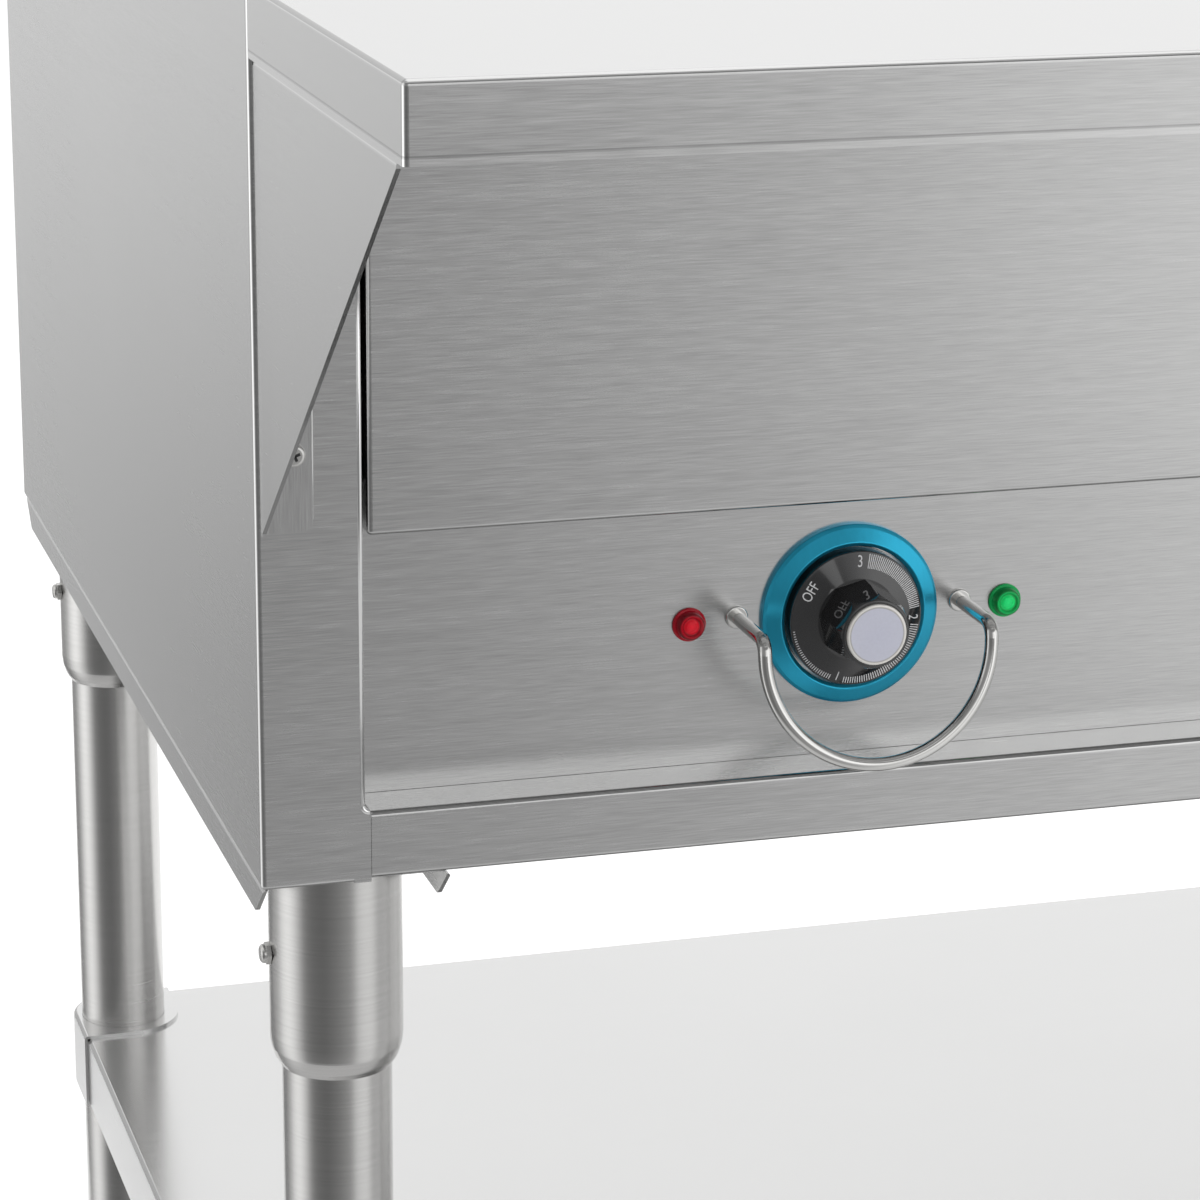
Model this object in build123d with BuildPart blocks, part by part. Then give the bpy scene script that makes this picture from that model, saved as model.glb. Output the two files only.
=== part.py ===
"""Electric food warmer table with two wells, recessed controls, a front work shelf, legs and an undershelf.

Row frame: +X to the right as the cook stands at the controls, +Y towards the back, +Z up.
The origin is on the floor, in the middle of the table's plan. All sizes are in millimetres.
"""

import os
from math import cos, radians, sin

from build123d import *

os.makedirs("parts", exist_ok=True)

# ------------------------------------------------------------------ driving sizes
overall_height = 870.0
well_count = 2
opening_width = 305.0
opening_length = 508.0
opening_corner = 15.0
well_bar = 50.0
end_bar = 76.0
deck_margin = 36.0
well_depth = 169.0
floor_insulation = 25.0
control_bay = 129.0
rim_drop = 12.0

sheet = 1.2
heavy_sheet = 1.5
liner_wall = 1.0
liner_bend = 3.0
liner_play = 2.8
liner_flange = 8.0
wrap_play = 0.2
wrap_gap = 2.0
wrap_rise = 1.0
bend = 2.0
tight_bend = 1.6
seam_gap = 0.3
slot_gap = 2.0
overrun = 1.0

stile_width = 38.1
stile_foot = 2.3
rail_height = 25.2
recess = 21.3
return_lap = 15.0

shelf_reach = 222.0
shelf_thickness = 25.0
shelf_lip = 24.0
stiffener_width = 60.0
stiffener_flange = 14.0
bracket_inset = 1.6
bracket_width = 19.0
bracket_gap_below_shelf_front = 15.0
bracket_foot_drop = 166.3
bracket_bend = 2.5
bracket_tip = 3.0
tab_corner = 4.0
bracket_screw_inset = 12.0
tab_screw_rises = (28.0, 118.0)
shelf_screw_shares = (0.30, 0.70)

leg_side_inset = 35.7
leg_end_inset = 40.0
leg_diameter = 41.3
leg_wall = 1.2
leg_slip = 0.1
channel_inset = 1.0
channel_flange = 13.2
channel_mitre = 15.4
channel_tip = 3.0
channel_web_relief = 7.0
socket_diameter = 50.0
socket_length = 72.5
socket_taper = 10.5
socket_shoulder = (1.0, 6.0)
socket_rounds = (30.0, 14.0)
socket_lip = 0.4
set_screw_drop = 38.0
set_screw_diameter = 6.0
set_screw_gap = 0.05
set_screw_head = 7.2
set_screw_head_height = 2.0
set_screw_round = 1.4
set_nut_flats = 7.4
set_nut = 1.8
grub_head = 10.0
grub_head_height = 4.0
grub_stand = 2.0
foot_height = 55.0
foot_shell_rise = 22.0
foot_shell_inset = 0.5
foot_sole_flare = 1.5
foot_sole_height = 5.0
foot_travel = 25.0
foot_stem_diameter = 12.0
foot_sole_diameter = 26.0
insert_length = 32.0
thread_engagement = 28.0

undershelf_height = 281.0
undershelf_inset = 13.0
undershelf_flange = 34.0
undershelf_corner = 22.0
collar_wall = 1.5
collar_drop = 26.0
corner_plate_reach = 27.5
corner_plate_lap = 1.5

knob_drop = 48.0
lamp_spacing = 125.0
guard_spacing = 88.2
guard_wire = 5.2
guard_reach = 33.0
guard_bend = 5.0
guard_lean = 6.3
guard_rise = 1.5
guard_tail = 9.0
guard_collar_diameter = 8.6
guard_collar_height = 1.4
guard_nut_flats = 10.0
guard_nut_thickness = 5.0
bezel_diameter = 69.0
bezel_opening = 53.6
bezel_height = 5.7
bezel_edge = 2.2
bezel_shoulder = (1.2, 3.2)
bezel_crest = 1.4
bezel_lip = 1.0
bezel_round = 0.6
skirt_diameter = 51.6
skirt_face = 8.6
knob_gap = 1.2
knob_wall = 2.0
hub_radius = 7.0
hub_base = 3.0
grip_radius = 15.6
grip_turn = 171.0
grip_taper = 4.0
grip_fillet = 1.6
grip_shoulder = 2.4
cap_diameter = 23.2
cap_face = 31.0
cap_stand = 1.2
cap_pocket = 1.6
cap_border = 1.4
shaft_diameter = 6.0
shaft_reach = 20.0
shaft_hole_play = 2.0
lens_diameter = 13.0
lens_height = 5.5
lens_round = 2.4
lens_lap = 1.5
lamp_body_length = 28.0
lamp_nut_flats = 15.0
lamp_nut_thickness = 4.0
lamp_nut_bite = 0.5
lamp_blade = (0.8, 8.0, 4.8)
lamp_blade_half = 2.5
regulator_size = 46.0
regulator_depth = 34.0
regulator_corner = 3.0
regulator_floor = 6.0
regulator_screw = 4.0
regulator_screw_head = 7.0
regulator_screw_grip = 7.0
regulator_screw_depth = 8.0
regulator_screw_half = 14.0
regulator_blade = (6.3, 8.0, 0.8)
element_tag_rise = 12.0
supply_tag_half = 10.0

element_diameter = 8.0
element_height = 10.0
element_side_gap = 34.0
element_end_gap = 42.0
element_inner_half = 38.0
element_terminal_half = 22.0
element_bend = 17.0
element_loop = 70.0
terminal_drop = 16.0
fitting_wall = 2.8
fitting_flange = 3.5
fitting_rise = 2.5
fitting_nut = 5.0
terminal_room = 12.8
support_thickness = 1.5
support_width = 10.0
support_overhang = 12.0
support_inset = 60.0

screw_diameter = 5.0
screw_head = 8.4
screw_head_height = 2.8
screw_play = 0.1
screw_short = 0.2
nut_flats = 8.0
nut_thickness = 4.0
running_clearance = 0.05
rear_screw_inset = 29.0
rear_screw_shares = (0.12, 0.5, 0.88)
bottom_screw_inset = 24.0
bottom_screw_shares = (0.25, 0.75)

gland_side_inset = 120.0
gland_rear_inset = 70.0
gland_thread = 20.0
gland_bore = 10.0
gland_wall = 3.0
gland_length = 26.0
gland_cap_length = 18.0
gland_body_length = 8.0
gland_flange = 4.0
gland_rise = 7.0
gland_nut_flats = 27.0
gland_nut_thickness = 5.0
block_side_inset = 190.0
block_rear_inset = 90.0
block_length = 64.0
block_width = 24.0
block_height = 20.0
block_pitch = 12.0
block_hole = (2.4, 5.0)
wire_diameter = 2.6
wire_bend = 12.0
wire_drop_reach = 24.0
wire_turn_reach = 45.0

# ------------------------------------------------------------------ places worked out from them
well_pitch = opening_width + well_bar
body_length = well_count * opening_width + (well_count - 1) * well_bar + 2 * end_bar
body_depth = opening_length + 2 * deck_margin
body_height = control_bay + floor_insulation + liner_wall + well_depth

x_right = body_length / 2
x_left = -x_right
y_face = -(body_depth + shelf_reach) / 2 + shelf_reach
y_back = y_face + body_depth
y_middle = (y_face + y_back) / 2
y_panel = y_face + recess
y_panel_back = y_panel + sheet
z_top = overall_height
z_base = z_top - body_height
z_deck = z_top - sheet
z_bay = z_base + control_bay
z_rail = z_base + sheet + rail_height
z_knob = z_bay - knob_drop
z_guard = z_knob + guard_rise
z_shield = z_bay - seam_gap
z_well_floor = z_top - well_depth
z_shelf_base = z_top - shelf_thickness

well_centres = [(i - (well_count - 1) / 2) * well_pitch for i in range(well_count)]
both_sides = (-1, 1)
leg_x = x_right - leg_side_inset
leg_places = {
    "front_left": (-leg_x, y_face + leg_end_inset),
    "front_right": (leg_x, y_face + leg_end_inset),
    "rear_left": (-leg_x, y_back - leg_end_inset),
    "rear_right": (leg_x, y_back - leg_end_inset),
}
leg_radius = leg_diameter / 2
leg_top = z_base - heavy_sheet
sheet_gap = sheet + seam_gap
lamp_bore = lens_diameter / 2 - lens_lap
out = (0, -1, 0)
up = (0, 0, 1)


# ------------------------------------------------------------------ shapes used again and again
def block(x, y, z, mode=Mode.ADD):
    """A square block between two values on each axis."""
    with Locations(((x[0] + x[1]) / 2, (y[0] + y[1]) / 2, (z[0] + z[1]) / 2)):
        Box(x[1] - x[0], y[1] - y[0], z[1] - z[0], mode=mode)


def hollowed(span, wall, low_open=False, high_open=False):
    """A span drawn in by the wall at its closed ends and run past its open ones."""
    low = span[0] - overrun if low_open else span[0] + wall
    high = span[1] + overrun if high_open else span[1] - wall
    return low, high


def folded_pan(x, y, z, opens, wall=sheet, radius=bend):
    """A sheet folded up on four sides of one face, open towards one direction such as +X."""
    block(x, y, z)
    axis = {"X": Axis.X, "Y": Axis.Y, "Z": Axis.Z}[opens[1]]
    rim = faces().sort_by(axis)[-1 if opens[0] == "+" else 0]
    fillet(edges() - rim.edges(), radius)
    spans = [
        hollowed(span, wall, opens == "-" + name, opens == "+" + name)
        for name, span in zip("XYZ", (x, y, z))
    ]
    block(*spans, mode=Mode.SUBTRACT)


def folded_channel(x, y, z, along, opens, wall=sheet, radius=bend):
    """A sheet folded on two sides only: a channel that runs along one axis and opens to one direction."""
    block(x, y, z)
    run = {"X": Axis.X, "Y": Axis.Y, "Z": Axis.Z}[along]
    axis = {"X": Axis.X, "Y": Axis.Y, "Z": Axis.Z}[opens[1]]
    closed = edges().filter_by(run).group_by(axis)[0 if opens[0] == "+" else -1]
    fillet(closed, radius)
    spans = [
        hollowed(
            span,
            wall,
            opens == "-" + name or along == name,
            opens == "+" + name or along == name,
        )
        for name, span in zip("XYZ", (x, y, z))
    ]
    block(*spans, mode=Mode.SUBTRACT)


def turned(centre, axis, points, rounds=(), across=(1, 0, 0), mode=Mode.ADD):
    """A profile of (radius, height) points, with some corners rounded, revolved about an axis."""
    plane = Plane(origin=centre, x_dir=across, z_dir=Vector(*across).cross(Vector(*axis)))
    with BuildSketch(plane) as profile:
        with BuildLine():
            Polyline(*points, close=True)
        make_face()
        for corner, radius in rounds:
            fillet(vertices().sort_by_distance(corner)[0], radius)
    revolve(profile.sketch, axis=Axis(plane.origin, plane.y_dir), mode=mode)


def rod(centre, axis, radius, length, across=(1, 0, 0), mode=Mode.ADD):
    """A plain round bar that starts at a centre and runs along an axis."""
    turned(centre, axis, [(0, 0), (radius, 0), (radius, length), (0, length)], across=across, mode=mode)


def hole(centre, axis, radius, length, past=overrun, across=(1, 0, 0)):
    """A round hole through a wall, or a blind one where it runs no distance past its length."""
    start = tuple(place - step * overrun for place, step in zip(centre, axis))
    rod(start, axis, radius, length + overrun + past, across=across, mode=Mode.SUBTRACT)


def pan_screw(seat, axis, grip_length, diameter=screw_diameter, head=screw_head, across=(1, 0, 0)):
    """A round-headed screw: its head stands on the seat and its shank runs back into the work."""
    radius = diameter / 2
    points = [
        (0, -grip_length),
        (radius, -grip_length),
        (radius, 0),
        (head / 2, 0),
        (head / 2, screw_head_height),
        (0, screw_head_height),
    ]
    turned(seat, axis, points, [((head / 2, screw_head_height), screw_head_height * 0.55)], across=across)


def hex_nut(seat, axis, bore, flats, thickness, across=(1, 0, 0)):
    """A hexagon nut that stands on its seat, with a clear bore."""
    with BuildSketch(Plane(origin=seat, x_dir=across, z_dir=axis)) as outline:
        RegularPolygon(radius=flats / 2, side_count=6, major_radius=False)
        Circle(bore / 2, mode=Mode.SUBTRACT)
    extrude(outline.sketch, amount=thickness)


def keep(builder, name):
    """Labels a finished piece and writes it to its own file."""
    builder.part.label = name
    export_step(builder.part, f"parts/{name}.step")


# ------------------------------------------------------------------ places of the fasteners
bracket_front = y_face - shelf_reach + bracket_gap_below_shelf_front
bracket_foot = z_shelf_base - bracket_foot_drop
bracket_edge = x_right - bracket_inset
bracket_screw_x = bracket_edge - bracket_screw_inset
tab_screw_heights = [bracket_foot + rise for rise in tab_screw_rises]
shelf_screw_rows = [y_face - shelf_reach * share for share in shelf_screw_shares]
rear_screw_x = x_right - rear_screw_inset
rear_screw_heights = [z_base + body_height * share for share in rear_screw_shares]
bottom_screw_x = x_right - bottom_screw_inset
bottom_screw_rows = [y_face + body_depth * share for share in bottom_screw_shares]
gland_place = (x_right - gland_side_inset, y_back - gland_rear_inset)
block_place = (x_right - block_side_inset, y_back - block_rear_inset)


# ------------------------------------------------------------------ body
def side_panel():
    """Left side: a sheet folded into the front stile, the back, the top and the bottom flange."""
    inner = x_left + stile_width
    folded_pan((x_left, inner), (y_face, y_back), (z_base, z_deck), "+X")
    lip = (inner - sheet, inner)
    block(lip, (y_face + sheet, y_panel - seam_gap), (z_rail, z_deck - sheet))
    with BuildSketch(Plane.XZ.offset(-y_face)) as stile_end:
        with BuildLine():
            Polyline(
                (inner - 2 * bend, z_base),
                (inner + stile_foot, z_base),
                (inner + stile_foot, z_rail),
                (inner, z_rail),
                (inner, z_rail + stile_foot * 2),
                (inner - 2 * bend, z_rail + stile_foot * 2),
                close=True,
            )
        make_face()
        fillet(vertices().sort_by_distance((inner, z_rail))[0], stile_foot * 0.9)
    extrude(stile_end.sketch, amount=-sheet)
    for height in tab_screw_heights:
        hole((-bracket_screw_x, y_face, height), (0, 1, 0), screw_diameter / 2 + screw_play, sheet)
    for height in rear_screw_heights:
        hole((-rear_screw_x, y_back, height), out, screw_diameter / 2 + screw_play, sheet)
    for row in bottom_screw_rows:
        hole((-bottom_screw_x, row, z_base), up, screw_diameter / 2 + screw_play, sheet)


with BuildPart() as side_panel_left:
    side_panel()
keep(side_panel_left, "side_panel_left")

with BuildPart() as side_panel_right:
    mirror(side_panel_left.part, about=Plane.YZ)
keep(side_panel_right, "side_panel_right")

rail_end = x_right - stile_width - stile_foot - seam_gap / 2
with BuildPart() as front_rail:
    folded_channel(
        (-rail_end, rail_end), (y_face, y_panel - seam_gap), (z_base + sheet, z_rail), "X", "+Y"
    )
    block(
        (-rail_end - overrun, rail_end + overrun),
        (y_face + return_lap, y_panel),
        (z_base, z_rail - 2 * sheet),
        mode=Mode.SUBTRACT,
    )
keep(front_rail, "front_rail")

panel_edge = x_right - stile_width / 2
panel_foot = z_rail - 3 * sheet
with BuildPart() as control_panel:
    block((-panel_edge, panel_edge), (y_panel, y_panel_back), (panel_foot, z_bay + return_lap))
    for x in well_centres:
        hole((x, y_panel, z_knob), (0, 1, 0), shaft_diameter / 2 + shaft_hole_play, sheet)
        for side in both_sides:
            screw_place = (x + side * regulator_screw_half, y_panel, z_knob)
            hole(screw_place, (0, 1, 0), regulator_screw / 2 + screw_play, sheet)
            post_place = (x + side * guard_spacing / 2, y_panel, z_guard)
            hole(post_place, (0, 1, 0), guard_wire / 2 + screw_play, sheet)
            lamp_place = (x + side * lamp_spacing / 2, y_panel, z_knob)
            hole(lamp_place, (0, 1, 0), lamp_bore, sheet)
keep(control_panel, "control_panel")

front_edge = x_right - stile_width - slot_gap
with BuildPart() as upper_front_panel:
    folded_pan((-front_edge, front_edge), (y_face, y_panel), (z_bay, z_deck), "+Y")
keep(upper_front_panel, "upper_front_panel")

rear_edge = x_right - stile_width / 2
y_rear_sheet = y_back - sheet
with BuildPart() as rear_panel:
    folded_channel(
        (-rear_edge, rear_edge),
        (y_rear_sheet - return_lap, y_rear_sheet),
        (z_base + 2 * sheet, z_deck - sheet),
        "X",
        "-Y",
        radius=tight_bend,
    )
    for side in both_sides:
        for height in rear_screw_heights:
            hole((side * rear_screw_x, y_rear_sheet, height), out, screw_diameter / 2 + screw_play, sheet)
keep(rear_panel, "rear_panel")

bottom_edge = x_right - sheet_gap
y_bottom_front = y_face + return_lap + seam_gap
y_bottom_back = y_rear_sheet - sheet_gap
with BuildPart() as bottom_panel:
    block((-bottom_edge, bottom_edge), (y_bottom_front, y_bottom_back), (z_base + sheet, z_base + 2 * sheet))
    hole((*gland_place, z_base + sheet), up, gland_thread / 2, sheet)
    for side in both_sides:
        for row in bottom_screw_rows:
            place = (side * bottom_screw_x, row, z_base + sheet)
            hole(place, up, screw_diameter / 2 + screw_play, sheet)
keep(bottom_panel, "bottom_panel")


def rounded_ring(well_x, width, length, corner, wall, height, floor):
    """An upright wall that goes round a rounded rectangle about one well's centre."""
    with BuildSketch(Plane.XY.offset(floor)) as outline:
        with Locations((well_x, y_middle)):
            RectangleRounded(width + 2 * wall, length + 2 * wall, corner + wall)
            RectangleRounded(width, length, corner, mode=Mode.SUBTRACT)
    extrude(outline.sketch, amount=height)


y_open = (y_middle - opening_length / 2, y_middle + opening_length / 2)
bar_edges = [x_left] + [x + side * opening_width / 2 for x in well_centres for side in both_sides] + [x_right]
with BuildPart() as top_deck:
    z_sheet = (z_deck, z_top)
    z_lip = (z_top - rim_drop, z_top)
    y_lip = (y_open[0] + opening_corner, y_open[1] - opening_corner)
    for low, high in zip(bar_edges[::2], bar_edges[1::2]):
        block((low, high), (y_face, y_back), z_sheet)
        if low > x_left:
            block((low, low + sheet), y_lip, z_lip)
        if high < x_right:
            block((high - sheet, high), y_lip, z_lip)
    fillet(edges().filter_by(Axis.Z).group_by(Axis.X)[0], bend)
    fillet(edges().filter_by(Axis.Z).group_by(Axis.X)[-1], bend)
    for x in well_centres:
        strip = (x - opening_width / 2 + seam_gap, x + opening_width / 2 - seam_gap)
        x_lip = (x - opening_width / 2 + opening_corner, x + opening_width / 2 - opening_corner)
        block(strip, (y_face, y_open[0]), z_sheet)
        block(x_lip, (y_open[0] - sheet, y_open[0]), z_lip)
        block(strip, (y_open[1], y_back), z_sheet)
        block(x_lip, (y_open[1], y_open[1] + sheet), z_lip)
keep(top_deck, "top_deck")

shield_edge = x_right - sheet_gap
y_shield = (y_panel_back + seam_gap, y_rear_sheet - sheet_gap)
terminal_y = y_middle - opening_length / 2 + element_end_gap
with BuildPart() as heat_shield:
    folded_pan(
        (-shield_edge, shield_edge), y_shield, (z_shield - return_lap, z_shield), "-Z", radius=tight_bend
    )
    for x in well_centres:
        for side in both_sides:
            place = (x + side * element_terminal_half, terminal_y, z_shield - sheet)
            hole(place, up, element_diameter, sheet)
keep(heat_shield, "heat_shield")

# ------------------------------------------------------------------ wells
liner_width = opening_width + 2 * (sheet + liner_play)
liner_length = opening_length + 2 * (sheet + liner_play)
wrap = (well_bar - 2 * (sheet + liner_play + liner_wall)) / 2 - wrap_gap
z_insulation = z_deck - 2 * sheet - seam_gap
terminal_bore = element_diameter / 2 + screw_play
fitting_radius = element_diameter / 2 + fitting_wall

for index, well_x in enumerate(well_centres, start=1):
    with BuildPart() as well_liner:
        with BuildSketch(Plane.XY.offset(z_well_floor - liner_wall)):
            with Locations((well_x, y_middle)):
                RectangleRounded(
                    liner_width + 2 * liner_wall, liner_length + 2 * liner_wall, opening_corner + liner_wall
                )
        extrude(amount=z_deck - z_well_floor + liner_wall)
        with BuildSketch(Plane.XY.offset(z_well_floor)):
            with Locations((well_x, y_middle)):
                RectangleRounded(liner_width, liner_length, opening_corner)
        extrude(amount=z_deck - z_well_floor, mode=Mode.SUBTRACT)
        underside, floor_face = faces().filter_by(Axis.Z).sort_by(Axis.Z)[:2]
        fillet(underside.edges(), liner_bend + liner_wall)
        fillet(floor_face.edges(), liner_bend)
        rounded_ring(
            well_x,
            liner_width + liner_wall,
            liner_length + liner_wall,
            opening_corner,
            liner_flange,
            liner_wall,
            z_deck - liner_wall,
        )
        for side in both_sides:
            place = (well_x + side * element_terminal_half, terminal_y, z_well_floor - liner_wall)
            hole(place, up, fitting_radius, liner_wall)
    keep(well_liner, f"well_liner_{index}")

    with BuildPart() as well_insulation:
        board_x = liner_width / 2 + liner_wall + wrap_play
        board_y = liner_length / 2 + liner_wall + wrap_play
        board_heights = (z_well_floor + wrap_rise, z_insulation)
        for side in both_sides:
            long_board = sorted((well_x + side * board_x, well_x + side * (board_x + wrap)))
            block(long_board, (y_middle - board_y - wrap, y_middle + board_y + wrap), board_heights)
            end_board = sorted((y_middle + side * board_y, y_middle + side * (board_y + wrap)))
            end_span = (well_x - board_x + seam_gap, well_x + board_x - seam_gap)
            block(end_span, end_board, board_heights)
        with BuildSketch(Plane.XY.offset(z_shield)):
            with Locations((well_x, y_middle)):
                RectangleRounded(liner_width, liner_length, opening_corner)
        extrude(amount=z_well_floor - liner_wall - wrap_play - z_shield)
        for side in both_sides:
            place = (well_x + side * element_terminal_half, terminal_y, z_shield)
            hole(place, up, terminal_room, floor_insulation)
    keep(well_insulation, f"well_insulation_{index}")

# ------------------------------------------------------------------ heating
z_element = z_well_floor + element_height
z_terminal = z_shield - sheet - terminal_drop
element_half = opening_width / 2 - element_side_gap
element_back = y_middle + opening_length / 2 - element_end_gap
element_fold = terminal_y + element_loop
terminal_bend = element_height - fitting_rise - seam_gap

for index, x in enumerate(well_centres, start=1):
    with BuildPart() as heating_element:
        right_half = [
            (element_terminal_half, terminal_y, z_terminal),
            (element_terminal_half, terminal_y, z_element),
            (element_half, terminal_y, z_element),
            (element_half, element_back, z_element),
            (element_inner_half, element_back, z_element),
            (element_inner_half, element_fold, z_element),
        ]
        left_half = [(-px, py, pz) for px, py, pz in reversed(right_half)]
        route = [(x + px, py, pz) for px, py, pz in right_half + left_half]
        bends = [terminal_bend] + [element_bend] * (len(route) - 4) + [terminal_bend]
        with BuildLine():
            FilletPolyline(*route, radius=bends)
        with BuildSketch(Plane(origin=route[0], z_dir=up)):
            Circle(element_diameter / 2)
        sweep()
    keep(heating_element, f"heating_element_{index}")

with BuildPart() as element_fittings:
    for x in well_centres:
        for side in both_sides:
            centre = (x + side * element_terminal_half, terminal_y, z_well_floor)
            washer = fitting_radius + fitting_flange
            points = [
                (terminal_bore, -liner_wall - fitting_nut),
                (washer, -liner_wall - fitting_nut),
                (washer, -liner_wall - wrap_play / 2),
                (fitting_radius - screw_play, -liner_wall - wrap_play / 2),
                (fitting_radius - screw_play, wrap_play / 2),
                (washer, wrap_play / 2),
                (washer, fitting_rise),
                (terminal_bore, fitting_rise),
            ]
            turned(centre, up, points)
keep(element_fittings, "element_fittings")

support_top = z_element - element_diameter / 2 - screw_play
support_rows = (element_fold + support_inset, element_back - support_inset)
with BuildPart() as element_supports:
    for x in well_centres:
        half = element_half + support_overhang
        for row in support_rows:
            reach = (x - half, x + half)
            width = (row - support_width / 2, row + support_width / 2)
            block(reach, width, (z_well_floor, support_top))
            inner = (x - half + support_thickness, x + half - support_thickness)
            under = (z_well_floor - overrun, support_top - support_thickness)
            block(inner, width, under, mode=Mode.SUBTRACT)
keep(element_supports, "element_supports")

# ------------------------------------------------------------------ controls, one set for each well
y_regulator = y_panel_back + regulator_depth
shaft_radius = shaft_diameter / 2
shaft_depth = regulator_depth - regulator_floor
element_tags = (-regulator_screw_half, 0, regulator_screw_half)
supply_tags = (-supply_tag_half, supply_tag_half)
blade_offsets = [(tag, element_tag_rise) for tag in element_tags]
blade_offsets += [(tag, -element_tag_rise) for tag in supply_tags]

for index, x in enumerate(well_centres, start=1):
    axis_point = (x, y_panel, z_knob)

    with BuildPart() as energy_regulator:
        half = regulator_size / 2
        block((x - half, x + half), (y_panel_back, y_regulator), (z_knob - half, z_knob + half))
        fillet(edges().filter_by(Axis.Y), regulator_corner)
        hole((x, y_panel_back, z_knob), (0, 1, 0), shaft_radius + running_clearance, shaft_depth, past=0)
        for side in both_sides:
            place = (x + side * regulator_screw_half, y_panel_back, z_knob)
            hole(place, (0, 1, 0), regulator_screw / 2 + screw_play, regulator_screw_depth, past=0)
        for dx, dz in blade_offsets:
            block(
                (x + dx - regulator_blade[0] / 2, x + dx + regulator_blade[0] / 2),
                (y_regulator, y_regulator + regulator_blade[1]),
                (z_knob + dz - regulator_blade[2] / 2, z_knob + dz + regulator_blade[2] / 2),
            )
    keep(energy_regulator, f"energy_regulator_{index}")

    with BuildPart() as regulator_shaft:
        start = (x, y_panel_back + shaft_depth - seam_gap, z_knob)
        rod(start, out, shaft_radius, shaft_depth - seam_gap + sheet + shaft_reach)
    keep(regulator_shaft, f"regulator_shaft_{index}")

    with BuildPart() as bezel_ring:
        inner = bezel_opening / 2
        outer = bezel_diameter / 2
        edge = (outer, bezel_edge)
        shoulder = (outer - bezel_shoulder[0], bezel_shoulder[1])
        crest = (inner + bezel_crest, bezel_height)
        points = [(inner, 0), (outer, 0), edge, shoulder, crest, (inner, bezel_height - bezel_lip)]
        turned(axis_point, out, points, [(corner, bezel_round) for corner in (edge, shoulder, crest)])
    keep(bezel_ring, f"bezel_ring_{index}")

    with BuildPart() as knob:
        grip_base = skirt_face + seam_gap
        top = cap_face - cap_stand
        with BuildSketch(Plane(origin=(x, y_panel - grip_base, z_knob), x_dir=(1, 0, 0), z_dir=out)):
            RegularPolygon(radius=grip_radius, side_count=8, rotation=grip_turn)
        extrude(amount=top - grip_base, taper=grip_taper)
        crown = cap_diameter / 2 + cap_border
        shoulder = (grip_radius + grip_shoulder, top * 0.55)
        envelope = [(0, 0), (grip_radius + 2 * grip_shoulder, 0), shoulder, (crown, top), (0, top)]
        turned(axis_point, out, envelope, [((crown, top), cap_stand)], mode=Mode.INTERSECT)
        skirt = skirt_diameter / 2
        shell = [
            (0, hub_base),
            (hub_radius, hub_base),
            (hub_radius, skirt_face - knob_wall),
            (skirt - knob_wall, skirt_face - knob_wall),
            (skirt - knob_wall, knob_gap),
            (skirt, knob_gap),
            (skirt, skirt_face),
            (grip_radius, skirt_face + grip_fillet),
            (0, skirt_face + grip_fillet),
        ]
        turned(axis_point, out, shell, [((skirt, skirt_face), bezel_round)])
        hub_start = (x, y_panel - hub_base, z_knob)
        hub_depth = shaft_reach - hub_base + seam_gap
        hole(hub_start, out, shaft_radius + running_clearance, hub_depth, past=0)
        seat = (x, y_panel - top, z_knob)
        rod(seat, (0, 1, 0), cap_diameter / 2 + screw_play, cap_pocket, mode=Mode.SUBTRACT)
    keep(knob, f"knob_{index}")

    with BuildPart() as knob_cap:
        radius = cap_diameter / 2
        thickness = cap_stand + cap_pocket
        points = [(0, 0), (radius, 0), (radius, thickness), (0, thickness)]
        turned((x, y_panel - top + cap_pocket, z_knob), out, points, [((radius, thickness), bezel_round)])
    keep(knob_cap, f"knob_cap_{index}")

    with BuildPart() as knob_guard:
        half = guard_spacing / 2
        tail = y_panel_back + guard_tail
        y_bend = y_panel - guard_reach
        fall = (0, -sin(radians(guard_lean)), -cos(radians(guard_lean)))
        climb = tuple(-part for part in fall)
        left_end = (x - half, y_bend + guard_bend, z_guard)
        right_end = (x + half, y_bend + guard_bend, z_guard)
        left_arm = (x - half, y_bend + guard_bend * fall[1], z_guard + guard_bend * fall[2])
        right_arm = (x + half, left_arm[1], left_arm[2])
        lowest = (x, left_arm[1] + half * fall[1], left_arm[2] + half * fall[2])
        with BuildLine():
            Line((x - half, tail, z_guard), left_end)
            TangentArc(left_end, left_arm, tangent=out)
            ThreePointArc(left_arm, lowest, right_arm)
            TangentArc(right_arm, right_end, tangent=climb)
            Line(right_end, (x + half, tail, z_guard))
        with BuildSketch(Plane(origin=(x - half, tail, z_guard), z_dir=out)):
            Circle(guard_wire / 2)
        sweep()
        for side in both_sides:
            centre = (x + side * half, y_panel, z_guard)
            rim = (guard_collar_diameter / 2, guard_collar_height)
            turned(centre, out, [(0, 0), (rim[0], 0), rim, (0, rim[1])], [(rim, bezel_round)])
    keep(knob_guard, f"knob_guard_{index}")

with BuildPart() as regulator_screws:
    for x in well_centres:
        for side in both_sides:
            seat = (x + side * regulator_screw_half, y_panel, z_knob)
            pan_screw(seat, out, regulator_screw_grip, diameter=regulator_screw, head=regulator_screw_head)
keep(regulator_screws, "regulator_screws")

with BuildPart() as guard_nuts:
    for x in well_centres:
        for side in both_sides:
            seat = (x + side * guard_spacing / 2, y_panel_back, z_guard)
            hex_nut(seat, (0, 1, 0), guard_wire + 2 * screw_play, guard_nut_flats, guard_nut_thickness)
keep(guard_nuts, "guard_nuts")

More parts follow.
